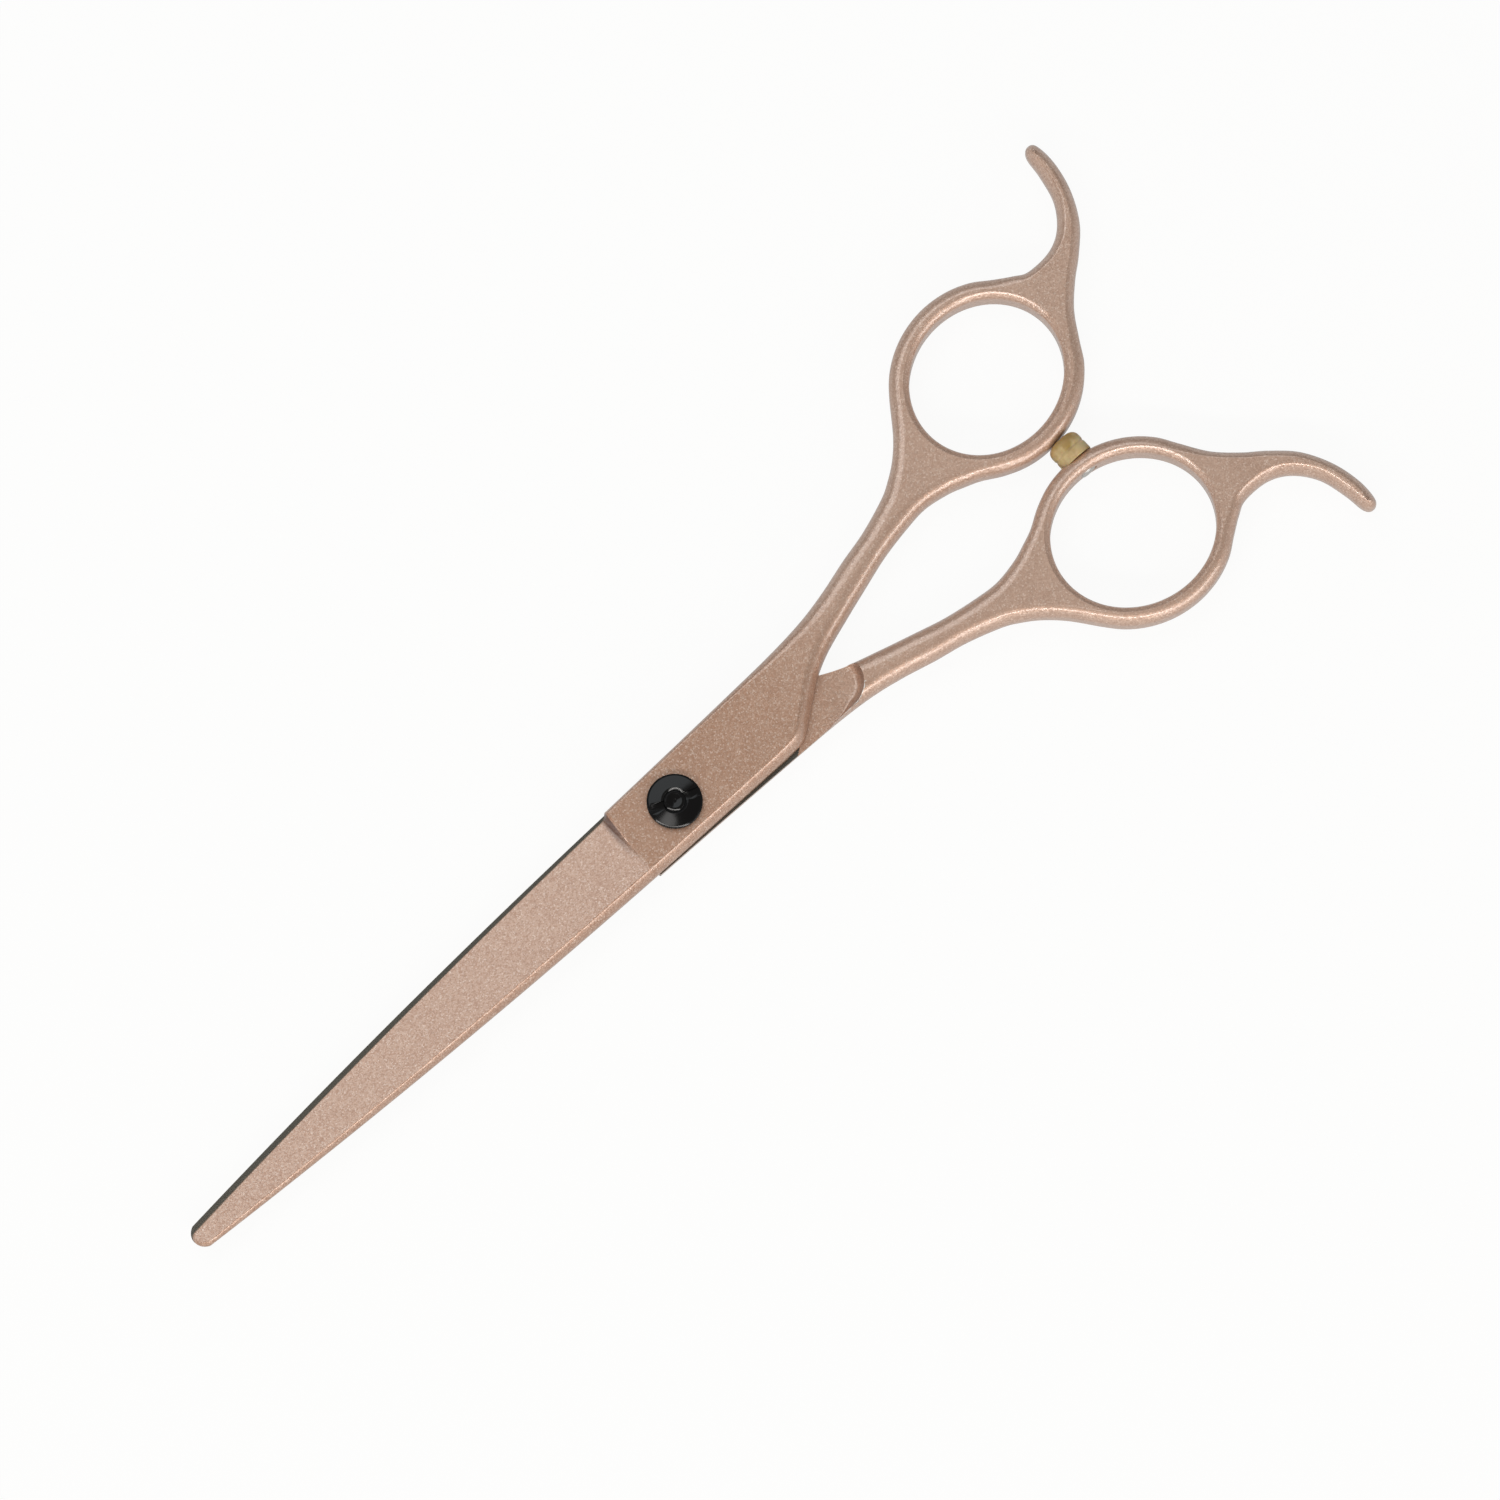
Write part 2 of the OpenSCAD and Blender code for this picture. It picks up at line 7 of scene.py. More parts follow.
import json
import math
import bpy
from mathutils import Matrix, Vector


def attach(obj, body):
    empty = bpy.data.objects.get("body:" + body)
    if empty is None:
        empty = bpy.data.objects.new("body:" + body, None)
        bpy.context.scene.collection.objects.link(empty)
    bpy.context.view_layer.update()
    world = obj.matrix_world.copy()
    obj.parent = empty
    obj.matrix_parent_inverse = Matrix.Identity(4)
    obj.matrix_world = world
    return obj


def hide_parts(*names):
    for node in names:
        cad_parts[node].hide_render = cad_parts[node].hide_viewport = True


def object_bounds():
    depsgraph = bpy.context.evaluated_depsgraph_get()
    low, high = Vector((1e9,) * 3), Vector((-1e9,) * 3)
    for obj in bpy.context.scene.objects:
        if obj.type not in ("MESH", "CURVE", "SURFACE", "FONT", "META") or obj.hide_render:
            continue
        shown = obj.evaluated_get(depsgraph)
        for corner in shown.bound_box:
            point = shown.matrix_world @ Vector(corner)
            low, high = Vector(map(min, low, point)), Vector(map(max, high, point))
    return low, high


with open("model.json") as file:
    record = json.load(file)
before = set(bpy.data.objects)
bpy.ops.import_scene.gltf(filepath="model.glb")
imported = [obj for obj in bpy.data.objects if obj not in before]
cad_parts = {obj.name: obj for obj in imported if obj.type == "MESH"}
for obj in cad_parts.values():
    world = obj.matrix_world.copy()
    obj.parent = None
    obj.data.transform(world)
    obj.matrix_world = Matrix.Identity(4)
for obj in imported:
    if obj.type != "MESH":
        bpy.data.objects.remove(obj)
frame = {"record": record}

from types import SimpleNamespace

import bmesh
import bpy
import numpy as np
from bpy.props import FloatProperty, FloatVectorProperty, PointerProperty
from mathutils import Matrix, Vector

bl_info = {
    "name": "Hair Cutting Shears",
    "version": (1, 0, 0),
    "blender": (4, 5, 0),
    "location": "3D View > Sidebar > Shears",
    "description": "Builds hair cutting shears with painted halves around their packed frame",
    "category": "Object",
}

CAD_BOX = [list(corner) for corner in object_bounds()]
BODIES = frame["record"]["behaviour"]["bodies"]
BODY_OF = {node: body for body, nodes in BODIES.items() for node in nodes}
MM = 0.001

# Steps across each rounded edge, along each outline span, along the blade, round the tip, down the
# run-out at the heel, round the finger hole, round a turned piece, along and across the hollow, and
# along the pocket's side
EDGE_STEPS = 14
SPAN_STEPS = 9
BLADE_STEPS = 72
TIP_STEPS = 18
PLUNGE_STEPS = 20
HOLE_STEPS = 168
TURN_STEPS = 128
HOLLOW_STEPS = 60
HOLLOW_ACROSS = 24
POCKET_STEPS = 40
# Place of the finger rest's tip among its rows
REST_TIP = 7
# Shapes of an edge's profile, from round to a flat bevel
ROUND = 1
CREST = 1.4
BEVEL = 1.45
FLAT = 2
# Depth of the finger hole's rounded edge, as a share of its width
HOLE_FALL = 1.2
# A flat strip this wide, in millimetres, stands inside each rounded edge, so that flat faces shade
# flat
CREASE = 0.03
# The pivot's box cutters reach this far, in millimetres
CUTTER_REACH = 9
# Edges that turn more than this shade sharp
SHARP = math.radians(44)
# Colours of the dust in the paint, of the shade painted into hollows, and of the highlight painted
# along the pocket's lip
DUST = (0.09, 0.05, 0.04, 1.0)
PAINTED_SHADE = (0.09, 0.035, 0.024, 1.0)
PAINTED_HIGHLIGHT = (1.0, 0.97, 0.93, 1.0)
# Middle of the camera's view in millimetres, and half the floor's width in metres
VIEW_MIDDLE = (13.07, -1.27, 2.55)
FLOOR_REACH = 3.0


def length(name, description, mm):
    """A length, given in millimetres and held in metres."""
    return FloatProperty(name=name, description=description, default=mm * MM,
                         min=0, precision=5, unit="LENGTH")


def angle(name, description, degrees):
    return FloatProperty(name=name, description=description,
                         default=math.radians(degrees), subtype="ANGLE")


def share(name, description, default):
    return FloatProperty(name=name, description=description, default=default,
                         min=0, max=1, subtype="FACTOR")


def brightness(name, description, default):
    """How bright a softbox's face looks, where 1 is white."""
    return FloatProperty(name=name, description=description, default=default, min=0)


def colour(name, description, red, green, blue):
    """A colour, given as it shows on a screen, from 0 to 255."""
    shown = [c / 255 for c in (red, green, blue)]
    linear = [c / 12.92 if c < 0.04045 else ((c + 0.055) / 1.055) ** 2.4 for c in shown]
    return FloatVectorProperty(name=name, description=description, default=linear,
                               size=3, min=0, max=1, subtype="COLOR")


class BladeSizes(bpy.types.PropertyGroup):
    """Sizes of the two blades."""
    blade_l: length("Blade", "Pivot centre to the blade's tip", 90.6)
    heel_l: length("Heel", "Pivot centre to the heel, where the ground face ends", 7.9)
    plunge_l: length("Run-out", "Length of the concave run-out at the heel", 1.2)
    spine_heel: length("Spine at heel", "Spine to the centre line at the heel", 5.65)
    spine_mid: length("Spine at middle", "Spine to the centre line half way along", 4.35)
    spine_tip: length("Spine at tip", "Spine to the centre line near the tip", 1.75)
    edge_heel: length("Edge at heel", "Cutting edge to the centre line at the heel", 5.25)
    edge_mid: length("Edge at middle", "Cutting edge to the centre line half way along", 3.75)
    edge_tip: length("Edge at tip", "Cutting edge to the centre line near the tip", 1)
    edge_t: length("Edge thickness", "Thickness at the ends of the cutting edge", 0.35)
    bevel_heel: length("Bevel at heel", "Width of the spine's bevel at the heel", 1.1)
    bevel_tip: length("Bevel at tip", "Width of the spine's bevel at the tip", 0.42)
    hollow_d: length("Hollow", "Depth of the hollow ground into the inner face", 0.12)


class HandleSizes(bpy.types.PropertyGroup):
    """Sizes of the shanks, finger rings and finger rests."""
    stock_t: length("Stock", "Thickness of the handle", 5.1)
    ring_x: length("Ring place", "Pivot centre to the ring's centre", 73)
    ring_y: length("Ring offset", "Centre line to the ring's centre", 14.9)
    hole_l: length("Hole length", "Long axis of the front finger hole", 23)
    hole_w: length("Hole width", "Short axis of the front finger hole", 20.7)
    back_hole: length("Wider back hole", "How much wider the back finger hole is", 0.65)
    ring_wall: length("Ring wall", "Width of the metal round the front finger hole", 2.85)
    ring_tilt: angle("Ring tilt", "Angle of the hole's long axis", 11.6)
    shank_edge: length("Shank edge", "Width of the shank's rounded edges", 2.15)
    ring_edge: length("Ring edge", "Width of the ring's rounded outer edge", 1.5)
    hole_edge: length("Hole edge", "Width of the finger hole's rounded edge", 0.85)
    rest_edge: length("Rest edge", "Width of the finger rest's rounded edges", 1.25)


class RideSizes(bpy.types.PropertyGroup):
    """Sizes of the ride, where the halves slide on each other, and of its pocket."""
    ride_l: length("Ride", "Pivot centre to the ride's rear corner", 18.4)
    ride_w: length("Ride width", "Centre line to the ride's open side", 5.8)
    pocket_x: length("Pocket end", "Pivot centre to the centre of the pocket's end", 27.9)
    pocket_y: length("Pocket side", "Centre line to the centre of the pocket's end", 2.55)
    pocket_r: length("Pocket radius", "Radius of the pocket's end", 4.1)
    pocket_fillet: length("Pocket slope", "Size of the slope at the pocket's end", 1.5)
    ride_gap: length("Ride gap", "Gap between the halves' inner faces", 0.04)
    bare_l: length("Bare ride", "Pivot centre to where the bare ride ends at its side", 18.3)
    bare_slant: angle("Bare slant", "Slant of the bare ride's rear end", 55)


class PivotSizes(bpy.types.PropertyGroup):
    """Sizes of the pivot's stud, rings and nut."""
    stud_d: length("Stud", "Diameter of the stud's plain shank", 4)
    thread_d: length("Thread", "Diameter of the stud's thread", 3)
    head_d: length("Head", "Diameter of the stud's head", 7)
    head_flats: length("Head flats", "Width across the head's two flats", 5.8)
    head_t: length("Head thickness", "Thickness of the stud's head", 1)
    bush_d: length("Bush", "Outer diameter of the bush", 5.2)
    bush_l: length("Bush length", "Length of the bush under its flange", 1.45)
    flange_d: length("Flange", "Diameter of the bush's flange", 6.4)
    flange_t: length("Flange thickness", "Thickness of the bush's flange", 0.35)
    washer_t: length("Friction washer", "Thickness of the friction washer", 0.4)
    spring_t: length("Spring washer", "Thickness of the spring washer", 0.25)
    spring_h: length("Spring cone", "Height of the spring washer's cone", 0.2)
    nut_d: length("Nut", "Diameter of the tension nut", 7.8)
    nut_rim: length("Nut rim", "Height of the nut's straight rim", 0.75)
    nut_edge: length("Nut edge", "Radius round the top of the nut's rim", 0.3)
    nut_rise: length("Nut rise", "Rise of the nut's face to its middle", 0.3)
    slot_w: length("Slot", "Width of the nut's slot", 1.2)
    slot_d: length("Slot depth", "Depth of the nut's slot", 0.55)
    slot_turn: angle("Slot turn", "Angle of the slot to the shears' length", -20)
    run_gap: length("Running gap", "Clearance round a piece that turns", 0.02)
    seat_gap: length("Seat gap", "Clearance round a piece that stays put", 0.02)


class BumperSizes(bpy.types.PropertyGroup):
    """Sizes of the rubber bumper and its pin."""
    bumper_out: length("Bumper place", "Ring's centre to the bumper's axis", 1.45)
    bumper_d: length("Bumper", "Diameter of the bumper", 5)
    bumper_round: length("Bumper round", "Radius of the bumper's end", 1.1)
    groove_d: length("Groove", "Depth of the groove round the bumper", 0.125)
    bumper_seat: length("Seat", "Depth of the flat seat under the bumper", 0.4)
    touch_gap: length("Touch gap", "Gap between the bumper and the other ring", 0.1)
    pin_d: length("Pin", "Diameter of the bumper's pin", 2.6)
    pin_out: length("Pin reach", "Reach of the pin into the finger hole", 0.3)


class Finishes(bpy.types.PropertyGroup):
    """Colours and textures of the finishes."""
    paint: colour("Paint", "Rose metallic paint", 210, 172, 147)
    paint_deep: colour("Deep paint", "Paint between its flakes", 180, 137, 111)
    flake: colour("Flake", "Brightest flakes in the paint", 248, 226, 210)
    flake_size: length("Flake size", "Width of a flake in the paint", 0.17)
    flake_tilt: share("Flake tilt", "How far the flakes lean", 0.11)
    # Painted light: how much paler and brighter the handles are drawn than the ride
    pale: share("Pale handles", "How much paler the paint is on the handles", 0.2)
    bare: colour("Bare steel", "Ground steel of the inner faces", 124, 121, 112)
    black: colour("Black", "Blackened steel of the nut and stud", 9, 9, 10)
    amber: colour("Amber", "Rubber of the bumper", 216, 193, 144)
    amber_deep: colour("Deep amber", "Clouds in the bumper's rubber", 177, 146, 86)
    bright: colour("Bright steel", "Steel of the bumper's pin", 226, 226, 222)


class Studio(bpy.types.PropertyGroup):
    """The camera's place and the light's levels."""
    azimuth: angle("Azimuth", "Camera's direction round the shears", -42.97)
    elevation: angle("Elevation", "Camera's height above the floor", 77.29)
    view_w: length("View", "Width of floor that the camera sees", 207.75)
    distance: length("Distance", "Camera to the shears", 6000)
    key_level: brightness("Key", "Brightness of the long key softbox", 10.21)
    fill_level: brightness("Fill", "Brightness of the softbox behind", 0.9425)
    low_level: brightness("Low", "Brightness of the low softbox in front", 2.592)
    top_level: brightness("Top", "Brightness of the small softbox overhead", 2.5133)
    ceiling: share("Ceiling", "Brightness of the room overhead", 0.22)
    front: share("Front", "Brightness of the room at floor level in front", 0.95)
    back: share("Back", "Brightness of the room at floor level behind", 0.2)


def in_mm(*groups):
    """The groups' values by name, lengths in millimetres and angles in degrees."""
    values = {}
    for group in groups:
        for name in type(group).__annotations__:
            value = getattr(group, name)
            unit = group.bl_rna.properties[name].unit
            if unit == "LENGTH":
                value /= MM
            elif unit == "ROTATION":
                value = math.degrees(value)
            values[name] = value
    return SimpleNamespace(**values)


def shears_sizes():
    """All sizes in millimetres, with the heights in the pivot and the bumper's place."""
    scene = bpy.context.scene
    s = in_mm(scene.shears_blade, scene.shears_handle, scene.shears_ride,
              scene.shears_pivot, scene.shears_bumper)
    s.half_t = s.stock_t / 2
    s.inner_z = s.ride_gap / 2
    s.bush_top = s.inner_z + s.bush_l
    s.flange_top = s.bush_top + s.flange_t
    s.washer_top = s.flange_top + s.washer_t
    s.spring_top = s.washer_top + s.spring_t + s.spring_h
    s.rim_top = s.spring_top + s.nut_rim
    s.nut_top = s.rim_top + s.nut_rise
    s.ring_a = s.hole_l / 2 + s.ring_wall
    s.ring_b = s.hole_w / 2 + s.ring_wall
    lean, upright = math.sin(math.radians(s.ring_tilt)), math.cos(math.radians(s.ring_tilt))
    s.ring_low = s.ring_y - math.hypot(s.ring_a * lean, s.ring_b * upright)
    long, wide = s.hole_l + s.back_hole, s.hole_w + s.back_hole
    s.hole_low = s.ring_y - math.hypot(long * lean, wide * upright) / 2
    s.bumper_x = s.ring_x + s.bumper_out
    s.bumper_base = s.ring_low + s.bumper_seat
    s.bumper_h = 2 * s.ring_low + s.bumper_seat - s.touch_gap
    return s


class Value:
    """A socket that Python's operators work on: each step adds one Math node."""

    def __init__(self, nodes, socket):
        self.nodes, self.socket = nodes, socket

    def math(self, operation, *values):
        return self.nodes.node("ShaderNodeMath", {"operation": operation}, values)

    def __add__(self, other):
        return self.math("ADD", self, other)

    def __sub__(self, other):
        return self.math("SUBTRACT", self, other)

    def __mul__(self, other):
        return self.math("MULTIPLY", self, other)

    def __lt__(self, other):
        return self.math("LESS_THAN", self, other)

    def __rsub__(self, other):
        return self.math("SUBTRACT", other, self)

    __radd__ = __add__
    __rmul__ = __mul__

    def root(self):
        return self.math("SQRT", self)

    def sine(self):
        return self.math("SINE", self)

    def least(self, other):
        return self.math("MINIMUM", self, other)

    def step(self, low, high, start=0.0, end=1.0):
        """A smooth rise from start to end as the value goes from low to high."""
        return self.nodes.node("ShaderNodeMapRange", {"interpolation_type": "SMOOTHSTEP"},
                               (self, low, high, start, end))


class Nodes:
    """A shader's nodes. node() adds any node and gives back one of its sockets."""

    def __init__(self, tree):
        self.tree = tree
        tree.nodes.clear()

    def node(self, kind, settings=None, inputs=(), output=0):
        made = self.tree.nodes.new(kind)
        for name, value in (settings or {}).items():
            setattr(made, name, value)
        pairs = inputs.items() if isinstance(inputs, dict) else enumerate(inputs)
        for key, value in pairs:
            if isinstance(value, Value):
                self.tree.links.new(value.socket, made.inputs[key])
            elif value is not None:
                made.inputs[key].default_value = value
        return Value(self, made.outputs[output]) if made.outputs else made

    def mix(self, factor, a, b):
        """A colour between a and b."""
        return self.node("ShaderNodeMix", {"data_type": "RGBA"},
                         {"Factor": factor, 6: a, 7: b}, 2)

    def vector(self, operation, *values):
        return self.node("ShaderNodeVectorMath", {"operation": operation}, values)

    def noise(self, place, size, detail=2.0, roughness=0.5):
        """Soft noise whose blobs are about size millimetres wide."""
        return self.node("ShaderNodeTexNoise", None,
                         {"Vector": place, "Scale": 1 / (size * MM), "Detail": detail,
                          "Roughness": roughness})

    def cells(self, place, size, output):
        """Cells about size metres wide: the way to their middle (0) or a colour for each (1)."""
        return self.node("ShaderNodeTexVoronoi", {"feature": "F1"},
                         {"Vector": place, "Scale": 1 / size}, output)

    def bump(self, height, strength, distance):
        """A surface that a height roughens, by a distance in millimetres."""
        return self.node("ShaderNodeBump", None, {"Strength": strength, "Distance": distance * MM,
                                                  "Height": height})

    def mark(self, name):
        """A value that the piece's own mesh holds."""
        return self.node("ShaderNodeAttribute", {"attribute_name": name}, (), 2)

    def place(self):
        return self.node("ShaderNodeTexCoord", None, (), 3)

    def parts(self, vector):
        """The three values of a vector."""
        split = self.node("ShaderNodeSeparateXYZ", None, (vector,))
        return [Value(self, s) for s in split.socket.node.outputs]


def finish(name, build):
    """A material, made once, whose Principled shader's sockets come from build, as a dict."""
    name = "shears_" + name
    if name in bpy.data.materials:
        return bpy.data.materials[name]
    material = bpy.data.materials.new(name)
    material.use_nodes = True
    nodes = Nodes(material.node_tree)
    shader = nodes.node("ShaderNodeBsdfPrincipled", None, build(nodes))
    nodes.node("ShaderNodeOutputMaterial", None, {"Surface": shader})
    return material


def rgb(values, share=1.0):
    """A colour for a socket, dimmed to a share."""
    return (*[value * share for value in values], 1.0)


def rose_paint(side):
    """Flake paint over the forging, with the inner face left as bare ground steel.

    Side is 1 on the front half and -1 on the back half, which is turned over."""
    looks = bpy.context.scene.shears_finishes
    s = shears_sizes()

    def build(n):
        place = n.place()
        x, y, z = n.parts(place)
        across = y * side
        from_side = s.ride_w * MM - across
        outward = (z - s.half_t * MM) * side
        # Each cell of the grain is one flake, with its own shade and its own lean
        flakes = n.cells(place, looks.flake_size, 1)
        shade, lean, glint = n.parts(flakes)
        cloud = n.noise(place, 3.5, 3.0)
        drift = n.noise(place, 24.0, 1.0)
        tone = (shade * 0.9 + cloud * 0.4 + drift * 0.3 - 0.3).step(0.0, 1.0)
        paint = n.mix(tone, rgb(looks.paint_deep), rgb(looks.paint))
        paint = n.mix(glint.step(0.8, 1.0) * 0.5, paint, rgb(looks.flake))
        # The coat is a little paler on the handles than on the ride
        # Brighter light is painted onto the handles: the colour turns paler from the ride towards
        # them
        paint = n.mix(x.step(14 * MM, 42 * MM, 0.0, looks.pale), paint, rgb(looks.flake))
        # A few specks of dust sit under the lacquer
        speck = n.cells(place, 7.5 * MM, 0).step(0.013, 0.022, 1.0, 0.0)
        paint = n.mix(speck * 0.7, paint, DUST)
        # Shade is painted into the run-out at the heel and onto the slope at the pocket's end, where
        # shadow falls
        heel = -s.heel_l * MM
        slant = x + from_side * 0.117
        shade_in_hollows = slant.step(heel - 1.45 * MM, heel - 0.45 * MM)
        shade_in_hollows = shade_in_hollows - slant.step(heel - 0.1 * MM, heel + 0.05 * MM)
        shade_in_hollows = shade_in_hollows * across.step(-3 * MM, 4 * MM) * outward.step(0.2 * MM, 0.4 * MM)
        shade_in_hollows = shade_in_hollows + n.mark("painted_shade_slope") * outward.step(-1.3 * MM, -0.05 * MM, 0.62, 0.0)
        paint = n.mix(shade_in_hollows * 0.85, paint, PAINTED_SHADE)
        # A highlight is painted along the pocket's thin lip
        paint = n.mix(n.mark("lip").step(0.3, 0.8), paint, PAINTED_HIGHLIGHT)
        # The inner face is bare up to the ride's rear end, which slants in from its open side
        waver = n.noise(place, 0.5, 2.0) * (0.2 * MM)
        inset = from_side.least(1.2 * MM)
        end = inset * math.tan(math.radians(s.bare_slant)) + s.bare_l * MM
        bare = n.mark("bare_face") * ((x + waver) < end)
        # Fine grinding lines cross the bare steel
        drawn = n.node("ShaderNodeMapping", None, {"Vector": place, "Scale": (1.0, 0.02, 0.02)})
        lines = n.noise(drawn, 0.05, 3.0, 0.7)
        steel = n.mix(lines, rgb(looks.bare, 0.75), rgb(looks.bare))
        normal = n.node("ShaderNodeNewGeometry", None, (), 1)
        tilt = n.vector("SUBTRACT", flakes, (0.5, 0.5, 0.5))
        tilt = n.node("ShaderNodeVectorMath", {"operation": "SCALE"},
                      {0: tilt, "Scale": 2 * looks.flake_tilt})
        flaked = n.vector("NORMALIZE", n.vector("ADD", normal, tilt))
        facing = n.node("ShaderNodeMix", {"data_type": "VECTOR"},
                        {"Factor": bare, 4: flaked, 5: n.bump(lines, 0.25, 0.02)}, 1)
        rough = 0.3 + lean * 0.1 + cloud * 0.08
        return {
            "Base Color": n.mix(bare, paint, steel),
            "Metallic": 0.42 + bare * 0.58,
            "Roughness": rough * (1 - bare) + bare * (lines * 0.12 + 0.2),
            "Coat Weight": (shade * 0.4 + 0.6) * (1 - bare),
            "Coat Roughness": 0.16,
            "Coat IOR": 1.8,
            "Normal": facing,
        }

    return finish("rose_paint_front" if side > 0 else "rose_paint_back", build)


def black_steel():
    """Glossy blackened steel, with smudges and the fine rings left by turning."""
    looks = bpy.context.scene.shears_finishes

    def build(n):
        place = n.place()
        x, y, _ = n.parts(place)
        radius = (x * x + y * y).root()
        rings = (radius * (2 * math.pi / (0.085 * MM)) + n.noise(place, 1.2) * 3.0).sine()
        smudge = n.noise(place, 1.6, 3.0)
        return {
            "Base Color": n.mix(smudge, rgb(looks.black, 0.6), rgb(looks.black)),
            "Roughness": 0.13 + smudge * 0.03 + rings * 0.01,
            "Specular IOR Level": 0.36,
        }

    return finish("black_steel", build)


def amber_rubber():
    """Clouded see-through rubber."""
    looks = bpy.context.scene.shears_finishes

    def build(n):
        place = n.place()
        swirl = n.noise(place, 2.6, 3.0, 0.55)
        grain = n.noise(place, 0.22, 2.0)
        return {
            "Base Color": n.mix(swirl.step(0.36, 0.66), rgb(looks.amber_deep), rgb(looks.amber)),
            "Roughness": 0.34 + grain * 0.16,
            "Subsurface Weight": 0.55,
            "Subsurface Radius": (1.0, 0.55, 0.2),
            "Subsurface Scale": 1.2 * MM,
            "IOR": 1.5,
            "Normal": n.bump(grain, 0.12, 0.03),
        }

    return finish("amber_rubber", build)


def plain_metal(name, tint, roughness, grain):
    """Bare metal with a fine scratched grain, grain millimetres wide."""

    def build(n):
        place = n.place()
        scratch = n.noise(place, grain, 4.0, 0.65)
        stain = n.noise(place, 14 * grain, 2.0)
        return {
            "Base Color": n.mix(stain, rgb(tint, 0.82), rgb(tint)),
            "Metallic": 1.0,
            "Roughness": roughness + scratch * 0.16,
            "Normal": n.bump(scratch, 0.15, 0.01),
        }

    return finish(name, build)


def white_nylon():
    """Faintly clouded nylon."""

    def build(n):
        place = n.place()
        cloud = n.noise(place, 0.6, 3.0)
        return {
            "Base Color": n.mix(cloud, (0.72, 0.71, 0.67, 1.0), (0.84, 0.83, 0.8, 1.0)),
            "Roughness": 0.42 + cloud * 0.15,
            "Subsurface Weight": 0.2,
            "Subsurface Scale": 0.5 * MM,
            "Normal": n.bump(cloud, 0.1, 0.02),
        }

    return finish("white_nylon", build)


def bow(a, middle, b, s):
    """A curve through a at 0, middle at a half and b at 1."""
    return a * (1 - s) * (1 - 2 * s) + 4 * middle * s * (1 - s) + b * s * (2 * s - 1)


def smooth_curve(points, steps):
    """A smooth curve through the points, without the last one."""
    p = np.array([points[0], *points, points[-1]], float)
    spans = []
    for a, b, c, d in zip(p, p[1:], p[2:], p[3:]):
        for t in np.arange(steps) / steps:
            spans.append(b + (t * (c - a) + t * t * (2 * a - 5 * b + 4 * c - d)
                              + t ** 3 * (3 * b - a - 3 * c + d)) / 2)
    return spans


def run(a, b):
    """The whole numbers from a to b, up or down."""
    return list(range(a, b + 1)) if b >= a else list(range(a, b - 1, -1))


def bridge(points, a, b):
    """Triangles between two runs of points that face each other."""
    faces, i, j = [], 0, 0
    while i < len(a) - 1 or j < len(b) - 1:
        step_a = j == len(b) - 1
        if not step_a and i < len(a) - 1:
            ahead = np.linalg.norm(points[a[i + 1]] - points[b[j]])
            step_a = ahead <= np.linalg.norm(points[a[i]] - points[b[j + 1]])
        faces.append((a[i], b[j], a[i + 1] if step_a else b[j + 1]))
        i, j = (i + 1, j) if step_a else (i, j + 1)
    return faces


def swept(steps, wide):
    """Faces of a closed solid through steps + 1 loops of as many points as wide."""
    faces = [tuple(range(wide)), tuple(steps * wide + j for j in range(wide))]
    for i in range(steps):
        for j in range(wide):
            a, b = i * wide + j, i * wide + (j + 1) % wide
            faces.append((a, b, b + wide, a + wide))
    return faces


